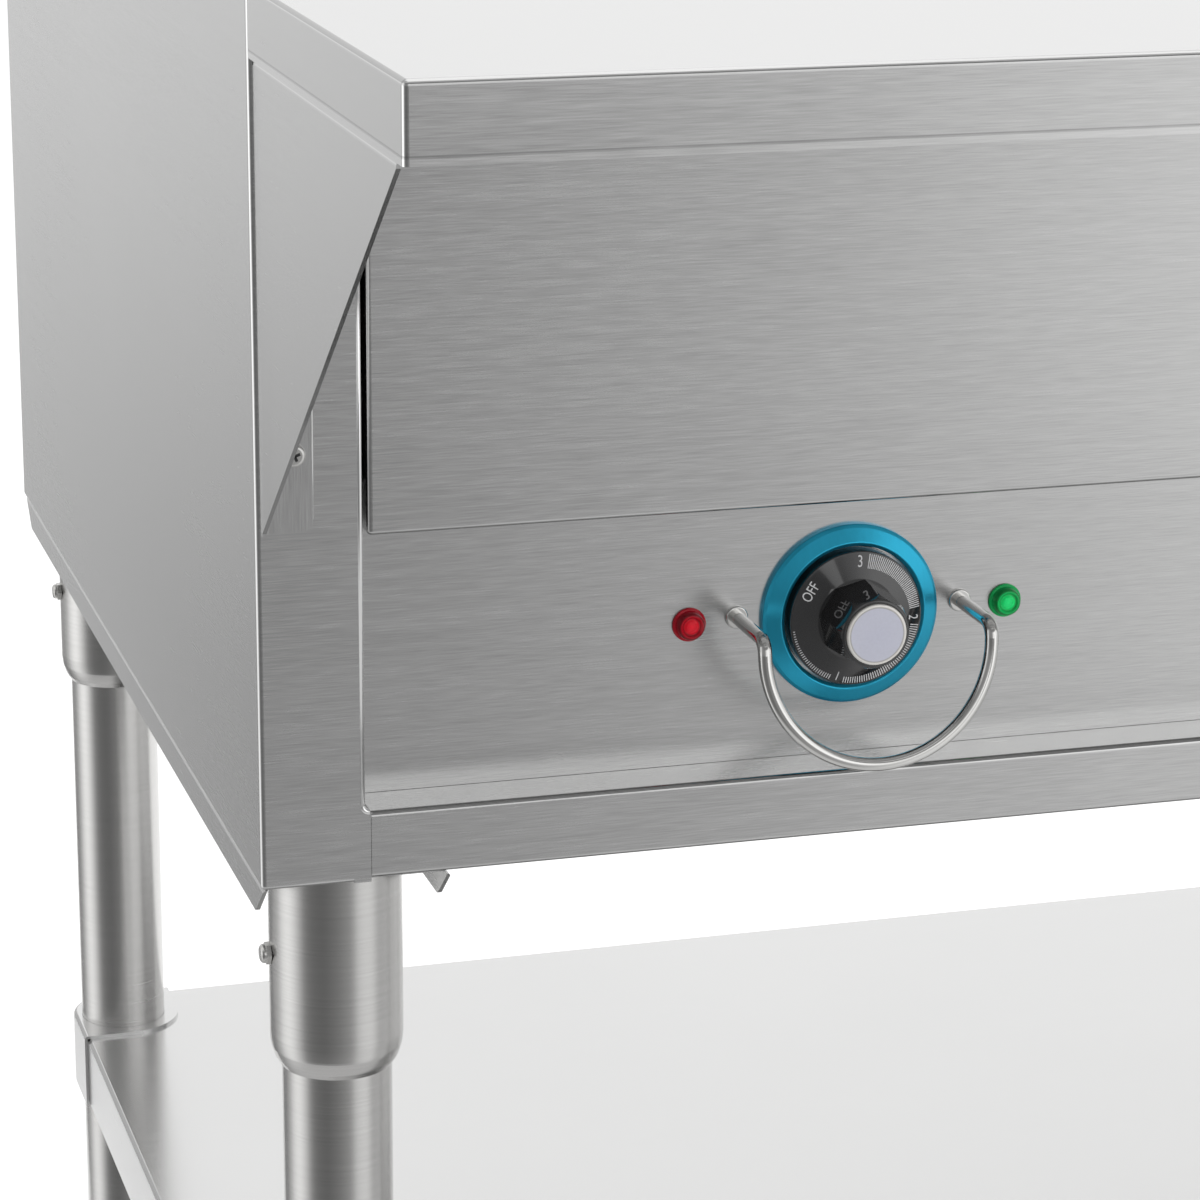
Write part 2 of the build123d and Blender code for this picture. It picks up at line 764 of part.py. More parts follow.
for colour, side in (("red", -1), ("green", 1)):
    with BuildPart() as lamp_lenses:
        for x in well_centres:
            radius = lens_diameter / 2
            points = [(0, 0), (radius, 0), (radius, lens_height), (0, lens_height)]
            centre = (x + side * lamp_spacing / 2, y_panel, z_knob)
            turned(centre, out, points, [((radius, lens_height), lens_round)])
    keep(lamp_lenses, f"{colour}_lamp_lenses")

with BuildPart() as pilot_lamp_bodies:
    for x in well_centres:
        for side in both_sides:
            centre = (x + side * lamp_spacing / 2, y_panel, z_knob)
            rod(centre, (0, 1, 0), lamp_bore - screw_play, lamp_body_length)
            nut_seat = (centre[0], y_panel_back, z_knob)
            nut_bore = 2 * (lamp_bore - lamp_nut_bite)
            hex_nut(nut_seat, (0, 1, 0), nut_bore, lamp_nut_flats, lamp_nut_thickness)
            for blade_side in both_sides:
                blade_x = centre[0] + blade_side * lamp_blade_half
                block(
                    (blade_x - lamp_blade[0] / 2, blade_x + lamp_blade[0] / 2),
                    (y_panel + lamp_body_length - overrun, y_panel + lamp_body_length + lamp_blade[1]),
                    (z_knob - lamp_blade[2] / 2, z_knob + lamp_blade[2] / 2),
                )
keep(pilot_lamp_bodies, "pilot_lamp_bodies")

# ------------------------------------------------------------------ supply
z_bottom_top = z_base + 2 * sheet
block_steps = [block_pitch * step for step in (-2, -1, 0, 1, 2)]
with BuildPart() as terminal_block:
    bx, by = block_place
    spans = (bx - block_length / 2, bx + block_length / 2), (by - block_width / 2, by + block_width / 2)
    block(*spans, (z_bottom_top, z_bottom_top + block_height))
    for step in block_steps:
        for side in both_sides:
            place = (bx + step, by + side * block_pitch / 2, z_bottom_top + block_height)
            hole(place, (0, 0, -1), *block_hole)
keep(terminal_block, "terminal_block")

gland_radius = gland_thread / 2 - screw_play
with BuildPart() as cable_gland:
    gx, gy = gland_place
    bore = gland_bore / 2
    nose = (bore + gland_wall, -gland_length)
    barrel = gland_radius + overrun
    flange = gland_radius + gland_flange
    points = [
        (bore, -gland_length),
        nose,
        (barrel, -gland_cap_length),
        (barrel, -gland_body_length),
        (flange, -gland_body_length),
        (flange, -sheet),
        (gland_radius, -sheet),
        (gland_radius, 2 * sheet + gland_rise),
        (bore, 2 * sheet + gland_rise),
    ]
    turned((gx, gy, z_base + sheet), up, points, [(nose, bend)])
keep(cable_gland, "cable_gland")

with BuildPart() as gland_nut:
    hex_nut((*gland_place, z_bottom_top), up, gland_thread, gland_nut_flats, gland_nut_thickness)
keep(gland_nut, "gland_nut")

wire_radius = wire_diameter / 2
tag_bend = (element_terminal_half - regulator_screw_half) / 2 - seam_gap
z_wire_floor = z_bottom_top + wire_radius + seam_gap
y_tags = y_regulator + regulator_blade[1]
supply_starts = sorted(x + side * supply_tag_half for x in well_centres for side in both_sides)
supply_slots = [block_place[0] + step for step in block_steps if step]


def wire(radius, *route):
    """One insulated wire along a route of straight runs and round bends."""
    with BuildLine() as path:
        FilletPolyline(*route, radius=radius)
    start = Plane(origin=route[0], z_dir=Vector(*route[1]) - Vector(*route[0]))
    with BuildSketch(start) as section:
        Circle(wire_radius)
    sweep(section.sketch, path=path.line)


with BuildPart() as wiring:
    for x in well_centres:
        for side in both_sides:
            tag_x = x + side * regulator_screw_half
            end_x = x + side * element_terminal_half
            tag_z = z_knob + element_tag_rise
            wire(
                tag_bend,
                (tag_x, y_tags, tag_z),
                (tag_x, terminal_y, tag_z),
                (end_x, terminal_y, tag_z),
                (end_x, terminal_y, z_terminal),
            )
    for order, (start_x, slot_x) in enumerate(zip(supply_starts, supply_slots)):
        turn_y = y_tags + wire_turn_reach + block_pitch * (len(supply_slots) - order)
        wire(
            wire_bend,
            (start_x, y_tags, z_knob - element_tag_rise),
            (start_x, y_tags + wire_drop_reach, z_knob - element_tag_rise),
            (start_x, y_tags + wire_drop_reach, z_wire_floor),
            (start_x, turn_y, z_wire_floor),
            (slot_x, turn_y, z_wire_floor),
            (slot_x, block_place[1] - block_width / 2, z_wire_floor),
        )
keep(wiring, "wiring")

# ------------------------------------------------------------------ front work shelf
shelf_front = y_face - shelf_reach
shelf_rear = y_face - seam_gap
with BuildPart() as work_shelf:
    folded_pan((x_left, x_right), (shelf_front, shelf_rear), (z_shelf_base, z_top), "-Z")
    with BuildSketch(Plane.XY.offset(z_shelf_base)):
        with Locations((0, (shelf_front + shelf_rear) / 2)):
            Rectangle(body_length - sheet, shelf_reach - seam_gap - sheet)
            Rectangle(
                body_length - 2 * (sheet + shelf_lip),
                shelf_reach - seam_gap - 2 * (sheet + shelf_lip),
                mode=Mode.SUBTRACT,
            )
    extrude(amount=sheet)
    for side in both_sides:
        for row in shelf_screw_rows:
            place = (side * bracket_screw_x, row, z_shelf_base)
            hole(place, up, screw_diameter / 2 + screw_play, sheet)
keep(work_shelf, "work_shelf")

z_web = z_shelf_base + sheet
with BuildPart() as shelf_stiffeners:
    for row in shelf_screw_rows:
        web = (row - stiffener_width / 2, row + stiffener_width / 2)
        end = x_right - sheet_gap
        block((-end, end), web, (z_web, z_deck))
        inner = (web[0] + sheet, web[1] - sheet)
        run = (-end - overrun, end + overrun)
        block(run, inner, (z_web + sheet, z_deck + overrun), mode=Mode.SUBTRACT)
        for edge, way in zip(web, both_sides):
            flange = sorted((edge, edge + way * stiffener_flange))
            block((-end, end), flange, (z_deck - sheet, z_deck))
        for side in both_sides:
            hole((side * bracket_screw_x, row, z_web), up, screw_diameter / 2 + screw_play, sheet)
keep(shelf_stiffeners, "shelf_stiffeners")


def shelf_bracket():
    """Left bracket: a triangular web with one flange under the shelf and one on the stile."""
    outer = -bracket_edge
    block((outer, outer + bracket_width), (bracket_front, y_face), (bracket_foot, z_shelf_base))
    web_edges = edges().filter_by(lambda e: e.bounding_box().max.X < outer + running_clearance)
    bends = web_edges.group_by(Axis.Z)[-1] + web_edges.group_by(Axis.Y)[-1]
    fillet(bends, bracket_bend)
    block(
        (outer + heavy_sheet, outer + bracket_width + overrun),
        (bracket_front - overrun, y_face - heavy_sheet),
        (bracket_foot - overrun, z_shelf_base - heavy_sheet),
        mode=Mode.SUBTRACT,
    )
    tab_back = y_face - heavy_sheet - bracket_tip
    with BuildSketch(Plane.YZ.offset(outer - overrun)) as slope:
        with BuildLine():
            Polyline(
                (bracket_front - overrun, z_shelf_base - bracket_tip),
                (bracket_front, z_shelf_base - bracket_tip),
                (tab_back, bracket_foot + overrun),
                (tab_back, bracket_foot - overrun),
                (bracket_front - overrun, bracket_foot - overrun),
                close=True,
            )
        make_face()
    extrude(slope.sketch, amount=bracket_width + 2 * overrun, mode=Mode.SUBTRACT)
    block(
        (outer + heavy_sheet + overrun, outer + bracket_width + overrun),
        (bracket_front - overrun, bracket_front + 2 * bracket_tip),
        (z_shelf_base - heavy_sheet - overrun, z_shelf_base + overrun),
        mode=Mode.SUBTRACT,
    )
    block(
        (outer - overrun, outer + bracket_width + overrun),
        (y_face - bracket_tip, y_face + overrun),
        (z_shelf_base - bracket_tip, z_shelf_base + overrun),
        mode=Mode.SUBTRACT,
    )
    free_corner = edges().filter_by(Axis.Y).group_by(Axis.Z)[0].sort_by(Axis.X)[-1]
    fillet(free_corner, tab_corner)
    for height in tab_screw_heights:
        place = (-bracket_screw_x, y_face - heavy_sheet, height)
        hole(place, (0, 1, 0), screw_diameter / 2 + screw_play, heavy_sheet)
    for row in shelf_screw_rows:
        place = (-bracket_screw_x, row, z_shelf_base - heavy_sheet)
        hole(place, up, screw_diameter / 2 + screw_play, heavy_sheet)


with BuildPart() as shelf_bracket_left:
    shelf_bracket()
keep(shelf_bracket_left, "shelf_bracket_left")

with BuildPart() as shelf_bracket_right:
    mirror(shelf_bracket_left.part, about=Plane.YZ)
keep(shelf_bracket_right, "shelf_bracket_right")

with BuildPart() as bracket_screws:
    for side in both_sides:
        for height in tab_screw_heights:
            place = (side * bracket_screw_x, y_face - heavy_sheet, height)
            pan_screw(place, out, heavy_sheet + sheet + nut_thickness + overrun)
            nut_seat = (side * bracket_screw_x, y_face + sheet, height)
            hex_nut(nut_seat, (0, 1, 0), screw_diameter + 2 * screw_play, nut_flats, nut_thickness)
        for row in shelf_screw_rows:
            place = (side * bracket_screw_x, row, z_shelf_base - heavy_sheet)
            pan_screw(place, (0, 0, -1), heavy_sheet + 2 * sheet + nut_thickness + overrun)
            nut_seat = (side * bracket_screw_x, row, z_web + sheet)
            hex_nut(nut_seat, up, screw_diameter + 2 * screw_play, nut_flats, nut_thickness)
keep(bracket_screws, "bracket_screws")

# ------------------------------------------------------------------ legs
channel_outer = x_right - channel_inset
channel_inner = 2 * leg_x - channel_outer


def leg_channel():
    """Left channel: a plate under the body with two hanging flanges, mitred and rounded at their ends."""
    run = (y_face + channel_inset, y_back - channel_inset)
    low = z_base - channel_flange
    folded_channel((-channel_outer, -channel_inner), run, (low, z_base), "Y", "-Z", wall=heavy_sheet)
    for end, way in zip(run, (1, -1)):
        with BuildSketch(Plane.YZ.offset(-channel_outer - overrun)) as mitre:
            with BuildLine():
                Polyline(
                    (end, z_base),
                    (end + way * channel_mitre, low),
                    (end + way * channel_mitre, low - overrun),
                    (end - way * overrun, low - overrun),
                    (end - way * overrun, z_base),
                    close=True,
                )
            make_face()
        extrude(mitre.sketch, amount=channel_outer - channel_inner + 2 * overrun, mode=Mode.SUBTRACT)
        relief = sorted((end - way * overrun, end + way * channel_web_relief))
        inside = (-channel_outer + heavy_sheet, -channel_inner - heavy_sheet)
        block(inside, relief, (low - overrun, z_base + overrun), mode=Mode.SUBTRACT)
    fillet(edges().filter_by(Axis.X).group_by(Axis.Z)[0], channel_tip)


with BuildPart() as leg_channel_left:
    leg_channel()
keep(leg_channel_left, "leg_channel_left")

with BuildPart() as leg_channel_right:
    mirror(leg_channel_left.part, about=Plane.YZ)
keep(leg_channel_right, "leg_channel_right")

socket_radius = socket_diameter / 2
socket_bore = leg_radius + leg_slip
set_screw_radius = set_screw_diameter / 2
with BuildPart() as leg_sockets:
    for x, y in leg_places.values():
        edge = (socket_radius, -socket_length)
        shoulder = (edge[0] - socket_shoulder[0], edge[1] - socket_shoulder[1])
        low = edge[1] - socket_taper
        neck = (socket_bore + socket_lip, low)
        points = [(socket_bore, 0), (socket_radius, 0), edge, shoulder, neck, (socket_bore, low)]
        turned((x, y, leg_top), up, points, list(zip((edge, shoulder), socket_rounds)))
        outward = (1 if x > 0 else -1, 0, 0)
        place = (x, y, leg_top - set_screw_drop)
        hole(place, outward, set_screw_radius + screw_play, socket_diameter, across=(0, 1, 0))
keep(leg_sockets, "leg_sockets")

with BuildPart() as leg_set_screws:
    for x, y in leg_places.values():
        way = 1 if x > 0 else -1
        centre = (x, y, leg_top - set_screw_drop)
        near = leg_radius + set_screw_gap
        nut_end = socket_radius + set_nut
        corner = (set_screw_head / 2, nut_end + set_screw_head_height)
        points = [
            (0, near),
            (set_screw_radius, near),
            (set_screw_radius, nut_end),
            (set_screw_head / 2, nut_end),
            corner,
            (0, nut_end + set_screw_head_height),
        ]
        turned(centre, (way, 0, 0), points, [(corner, set_screw_round)], across=(0, 1, 0))
        seat = (x + way * socket_radius, y, leg_top - set_screw_drop)
        hex_nut(seat, (way, 0, 0), set_screw_radius, set_nut_flats, set_nut, across=(0, 1, 0))
keep(leg_set_screws, "leg_set_screws")

for name, (x, y) in leg_places.items():
    with BuildPart() as leg:
        inner = leg_radius - leg_wall
        points = [(inner, foot_height), (leg_radius, foot_height), (leg_radius, leg_top), (inner, leg_top)]
        turned((x, y, 0), up, points)
    keep(leg, f"leg_{name}")

stem_radius = foot_stem_diameter / 2
with BuildPart() as leg_inserts:
    for x, y in leg_places.values():
        bore = stem_radius + running_clearance
        inner = leg_radius - leg_wall
        points = [
            (bore, foot_height),
            (inner, foot_height),
            (inner, foot_height + insert_length),
            (bore, foot_height + insert_length),
        ]
        turned((x, y, 0), up, points)
keep(leg_inserts, "leg_inserts")

for name, (x, y) in leg_places.items():
    with BuildPart() as foot:
        shell = leg_radius - foot_shell_inset
        sole = foot_sole_diameter / 2
        crest = foot_height - seam_gap
        stem_top = foot_height + foot_travel + thread_engagement
        flare = (sole + foot_sole_flare, foot_sole_height)
        belly = (shell, crest - foot_shell_rise)
        brim = (shell, crest)
        points = [(0, 0), (sole, 0), flare, belly, brim]
        points += [(stem_radius, crest), (stem_radius, stem_top), (0, stem_top)]
        turned((x, y, 0), up, points, [(brim, bend / 2), (belly, 3 * bend), (flare, bend)])
    keep(foot, f"foot_{name}")

# ------------------------------------------------------------------ undershelf
shelf_half = x_right - undershelf_inset
y_shelf = (y_face + undershelf_inset, y_back - undershelf_inset)
collar_outer = leg_radius + leg_slip + collar_wall
plate_top = undershelf_height + heavy_sheet


def corner_regions(radius):
    """The rounded outline of the undershelf's plan, grown or drawn in by a distance."""
    return (
        2 * (shelf_half + radius),
        y_shelf[1] - y_shelf[0] + 2 * radius,
        undershelf_corner + radius,
    )


with BuildPart() as undershelf:
    centre = (0, (y_shelf[0] + y_shelf[1]) / 2)
    low = undershelf_height - undershelf_flange
    with BuildSketch(Plane.XY.offset(low)):
        with Locations(centre):
            RectangleRounded(*corner_regions(0))
    extrude(amount=undershelf_flange)
    fillet(faces().sort_by(Axis.Z)[-1].edges(), bend)
    with BuildSketch(Plane.XY.offset(low)):
        with Locations(centre):
            RectangleRounded(*corner_regions(-sheet))
    extrude(amount=undershelf_flange - sheet, mode=Mode.SUBTRACT)
    for x, y in leg_places.values():
        hole((x, y, undershelf_height - collar_drop), up, collar_outer + leg_slip, collar_drop)
keep(undershelf, "undershelf")

with BuildPart() as shelf_corner_plates:
    low = undershelf_height - undershelf_flange - corner_plate_lap
    with BuildSketch(Plane.XY.offset(low)):
        with Locations(centre):
            RectangleRounded(*corner_regions(heavy_sheet))
    extrude(amount=plate_top - low)
    fillet(faces().sort_by(Axis.Z)[-1].edges(), bend)
    with BuildSketch(Plane.XY.offset(low)):
        with Locations(centre):
            RectangleRounded(*corner_regions(leg_slip / 2))
    extrude(amount=undershelf_height - low, mode=Mode.SUBTRACT)
    with BuildSketch(Plane.XY.offset(low)):
        for x, y in leg_places.values():
            with Locations((x, y)):
                Circle(corner_plate_reach)
            way_x = corner_plate_reach if x > 0 else -corner_plate_reach
            way_y = corner_plate_reach if y > y_middle else -corner_plate_reach
            with Locations((x + way_x, y), (x, y + way_y)):
                Rectangle(2 * corner_plate_reach, 2 * corner_plate_reach)
    extrude(amount=plate_top - low, mode=Mode.INTERSECT)
    for x, y in leg_places.values():
        points = [
            (leg_radius + leg_slip, -collar_drop),
            (collar_outer, -collar_drop),
            (collar_outer, heavy_sheet / 2),
            (leg_radius + leg_slip, heavy_sheet / 2),
        ]
        turned((x, y, undershelf_height), up, points)
        hole((x, y, undershelf_height), up, leg_radius + leg_slip, heavy_sheet)
        inward = (-1 if x > 0 else 1, 0, 0)
        place = (x, y, undershelf_height - collar_drop / 2)
        hole(place, inward, set_screw_radius + screw_play, socket_diameter, across=(0, 1, 0))
keep(shelf_corner_plates, "shelf_corner_plates")

with BuildPart() as shelf_set_screws:
    for x, y in leg_places.values():
        inward = (-1 if x > 0 else 1, 0, 0)
        near = leg_radius + set_screw_gap
        far = collar_outer + grub_stand
        end = far + grub_head_height
        points = [(0, near), (set_screw_radius, near), (set_screw_radius, far)]
        points += [(grub_head / 2, far), (grub_head / 2, end), (0, end)]
        turned((x, y, undershelf_height - collar_drop / 2), inward, points, across=(0, 1, 0))
keep(shelf_set_screws, "shelf_set_screws")

# ------------------------------------------------------------------ body screws
with BuildPart() as panel_screws:
    for side in both_sides:
        for height in rear_screw_heights:
            seat = (side * rear_screw_x, y_rear_sheet - sheet, height)
            pan_screw(seat, out, 2 * sheet - screw_short)
        for row in bottom_screw_rows:
            pan_screw((side * bottom_screw_x, row, z_bottom_top), up, 2 * sheet - screw_short)
keep(panel_screws, "panel_screws")
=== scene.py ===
# %% [markdown]
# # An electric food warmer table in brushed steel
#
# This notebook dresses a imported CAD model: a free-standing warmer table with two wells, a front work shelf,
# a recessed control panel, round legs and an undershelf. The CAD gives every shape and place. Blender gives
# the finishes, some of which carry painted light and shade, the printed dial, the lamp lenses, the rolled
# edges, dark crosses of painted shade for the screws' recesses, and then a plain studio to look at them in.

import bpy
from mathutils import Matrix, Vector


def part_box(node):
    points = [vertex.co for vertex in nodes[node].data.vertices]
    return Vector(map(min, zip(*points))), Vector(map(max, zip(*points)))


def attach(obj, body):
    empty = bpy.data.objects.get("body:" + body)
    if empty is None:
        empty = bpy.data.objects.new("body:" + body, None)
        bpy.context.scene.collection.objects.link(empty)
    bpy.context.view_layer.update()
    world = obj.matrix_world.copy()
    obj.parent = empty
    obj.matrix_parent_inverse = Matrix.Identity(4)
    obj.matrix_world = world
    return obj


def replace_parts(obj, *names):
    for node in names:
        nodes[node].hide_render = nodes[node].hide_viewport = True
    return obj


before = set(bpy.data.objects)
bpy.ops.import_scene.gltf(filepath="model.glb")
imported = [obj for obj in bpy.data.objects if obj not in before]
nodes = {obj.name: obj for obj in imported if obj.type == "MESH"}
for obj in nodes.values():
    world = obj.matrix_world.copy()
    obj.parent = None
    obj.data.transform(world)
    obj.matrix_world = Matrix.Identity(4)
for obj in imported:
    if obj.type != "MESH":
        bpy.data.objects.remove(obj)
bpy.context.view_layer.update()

# %% [markdown]
# ## The photographer's camera
#
# The picture was taken with a long lens from the front left, a little above the work shelf. A camera can be
# aimed with a Track To constraint, but three angles say the same thing in one line: the turn towards the
# right, the tilt downwards and a small roll.

# %% Set up the camera
import math

import bpy
from mathutils import Matrix, Vector

camera_place = Vector((-0.66239, -1.46104, 1.03503))
turn_right = math.radians(16.586)
tilt_down = math.radians(16.240)
roll = math.radians(0.456)
lens_length = 116.29

aim = Vector(
    (
        math.sin(turn_right) * math.cos(tilt_down),
        math.cos(turn_right) * math.cos(tilt_down),
        -math.sin(tilt_down),
    )
)
facing = aim.to_track_quat("-Z", "Y").to_matrix() @ Matrix.Rotation(roll, 3, "Z")
camera_data = bpy.data.cameras.new("studio_camera")
camera_data.lens = lens_length
camera_data.sensor_width = 36.0
camera = bpy.data.objects.new("studio_camera", camera_data)
camera.matrix_world = Matrix.Translation(camera_place) @ facing.to_4x4()
bpy.context.scene.collection.objects.link(camera)
bpy.context.scene.camera = camera
bpy.context.scene.view_settings.view_transform = "Standard"
print("camera looks along", [round(part, 3) for part in aim])

# %% [markdown]
# ## Sums on sockets
#
# A finish is a little network of nodes. Clicking such a network together is fine for one steel, but this
# table needs more than twenty finishes. So a socket is wrapped in a small class with the usual operators:
# `1 - fold * 0.3` then adds the Math nodes by itself. Every other node comes from one method, `node`.

# %% A socket that can be added and multiplied
class Signal:
    """One output socket, with sums and products that add Math nodes to its tree."""

    def __init__(self, network, socket):
        self.network = network
        self.socket = socket

    def joined(self, operation, first, second):
        return self.network.node("ShaderNodeMath", {"operation": operation}, {0: first, 1: second})

    def __add__(self, other):
        return self.joined("ADD", self, other)

    def __sub__(self, other):
        return self.joined("SUBTRACT", self, other)

    def __rsub__(self, other):
        return self.joined("SUBTRACT", other, self)

    def __mul__(self, other):
        return self.joined("MULTIPLY", self, other)

    def __gt__(self, other):
        return self.joined("GREATER_THAN", self, other)

    def __lt__(self, other):
        return self.joined("LESS_THAN", self, other)

    __radd__ = __add__
    __rmul__ = __mul__


print("sums on sockets are ready")


# %% A node tree that is filled through one method
class Network:
    """A node tree, and the few kinds of node that the finishes use most."""

    def __init__(self, tree):
        self.tree = tree
        tree.nodes.clear()

    def node(self, kind, settings=None, values=None, output=0):
        """Adds a node: its settings come first, then the values or links of its sockets."""
        made = self.tree.nodes.new(kind)
        for name, value in (settings or {}).items():
            if name == "stops":
                self.set_stops(made.color_ramp, value)
            else:
                setattr(made, name, value)
        for name, value in (values or {}).items():
            if isinstance(value, Signal):
                self.tree.links.new(value.socket, made.inputs[name])
            else:
                made.inputs[name].default_value = value
        return Signal(self, made.outputs[output]) if made.outputs else made

    def set_stops(self, ramp, stops):
        """Fills a colour ramp with places and colours."""
        while len(ramp.elements) < len(stops):
            ramp.elements.new(1.0)
        for element, (place, colour) in zip(ramp.elements, stops):
            element.position = place
            element.color = (*colour, 1.0)

    def blended(self, factor, first, second):
        """A colour between two colours."""
        colours = [value if isinstance(value, Signal) else (*value, 1.0) for value in (first, second)]
        return self.node(
            "ShaderNodeMix", {"data_type": "RGBA"}, {0: factor, 6: colours[0], 7: colours[1]}, output=2
        )

    def shaded(self, colour, shade):
        """A colour made lighter or darker by a number."""
        return self.node("ShaderNodeVectorMath", {"operation": "SCALE"}, {0: colour, 3: shade})

    def noise(self, vector, scale, detail=2.0, roughness=0.5):
        """Soft spots, whose size is one over the scale."""
        return self.node(
            "ShaderNodeTexNoise",
            {},
            {"Vector": vector, "Scale": scale, "Detail": detail, "Roughness": roughness},
        )

    def stretched(self, vector, scales):
        """A coordinate drawn out along some axes, which turns round noise into grain."""
        return self.node("ShaderNodeVectorMath", {"operation": "MULTIPLY"}, {0: vector, 1: scales})

    def absolute_number(self, number):
        """A number without its sign."""
        return self.node("ShaderNodeMath", {"operation": "ABSOLUTE"}, {0: number})

    def absolute(self, vector):
        """A vector whose three numbers have lost their signs."""
        return self.node("ShaderNodeVectorMath", {"operation": "ABSOLUTE"}, {0: vector})

    def outputs(self, signal):
        """All the outputs of the node behind a signal, by name."""
        return {socket.name: Signal(self, socket) for socket in signal.socket.node.outputs}

    def parts(self, vector):
        """The three numbers of a vector."""
        return list(self.outputs(self.node("ShaderNodeSeparateXYZ", {}, {0: vector})).values())

    def extreme(self, operation, values):
        """The greatest or the least of several numbers."""
        found = values[0]
        for value in values[1:]:
            found = self.node("ShaderNodeMath", {"operation": operation}, {0: found, 1: value})
        return found

    def ramp(self, value, low, high, start=0.0, end=1.0):
        """A smooth step from a start to an end while a value goes from low to high."""
        return self.node(
            "ShaderNodeMapRange",
            {"interpolation_type": "SMOOTHSTEP"},
            {"Value": value, "From Min": low, "From Max": high, "To Min": start, "To Max": end},
        )


print("node trees can be filled")


# %% A material with one glossy shader
class Finish(Network):
    """A material: its Principled shader, and the coordinates that its patterns use."""

    def __init__(self, name, **constants):
        self.material = bpy.data.materials.new(name)
        self.material.use_nodes = True
        super().__init__(self.material.node_tree)
        self.place = self.node("ShaderNodeTexCoord", output=3)
        values = {socket.replace("_", " "): value for socket, value in constants.items()}
        shader = self.node("ShaderNodeBsdfPrincipled", {}, values)
        self.shader = shader.socket.node
        self.node("ShaderNodeOutputMaterial", {}, {0: shader})

    def feed(self, socket, signal):
        """Lets a pattern drive one socket of the shader."""
        self.tree.links.new(signal.socket, self.shader.inputs[socket])

    def relief(self, height, distance, edge=0.0):
        """Raises and lowers the surface by a pattern, in metres, and rounds its edges to the light."""
        values = {"Height": height, "Distance": distance, "Strength": 1.0}
        if edge:
            values["Normal"] = self.node("ShaderNodeBevel", {"samples": 6}, {"Radius": edge})
        self.feed("Normal", self.node("ShaderNodeBump", {}, values))


def dress(finish, *names):
    """Gives a finish to CAD nodes, whose own meshes stay as they are."""
    for name in names:
        mesh = nodes[name].data
        mesh.materials.clear()
        mesh.materials.append(finish.material)


finished = []
print("finishes can be made and put on nodes")

# %% [markdown]
# ## Brushed steel sheet
#
# Sheet for kitchens is ground with a belt, which leaves fine scratches all in one direction. A photograph
# of scratches would be quick, but it shows seams and needs unwrapping. Noise that is drawn out along the
# grain needs neither. The front carries the strongest grain, and the sides and tops are nearly smooth, so
# the pattern asks each face which way it looks. Where the sheet is folded the grain is pressed flat, so a
# fold is smoother. The colour carries painted light as well: an upright fold is painted lighter as a thin
# highlight, a level one is painted darker as shade, and some tops get a lighter tone, light from above.


# %% The grain of a ground sheet
grain_pitch = 2200
grain_length = 75
grain_depth = 0.0000025
grain_rough = 0.12
fine_share = 0.65
handled_shade = 0.05
handled_rough = 0.06
looks_along = 0.7
fold_limits = (0.93, 0.999)
# Folds carry painted light: upright ones get a lighter tone, a painted highlight, and level ones a darker
# tone, painted shade.
level_fold_shade_limits = (0.32, 0.50)
painted_highlight_fold_tone = (0.70, 0.70, 0.697)
level_fold_painted_shade_tone = (0.42, 0.42, 0.418)
fold_rough = 0.14
# The hem's crease is painted dark as shade, and the doubled edge below it painted lighter as a highlight.
crease_shade_limits = (0.0003, 0.0006)
crease_painted_shade = 0.30
hem_painted_highlight = 0.14


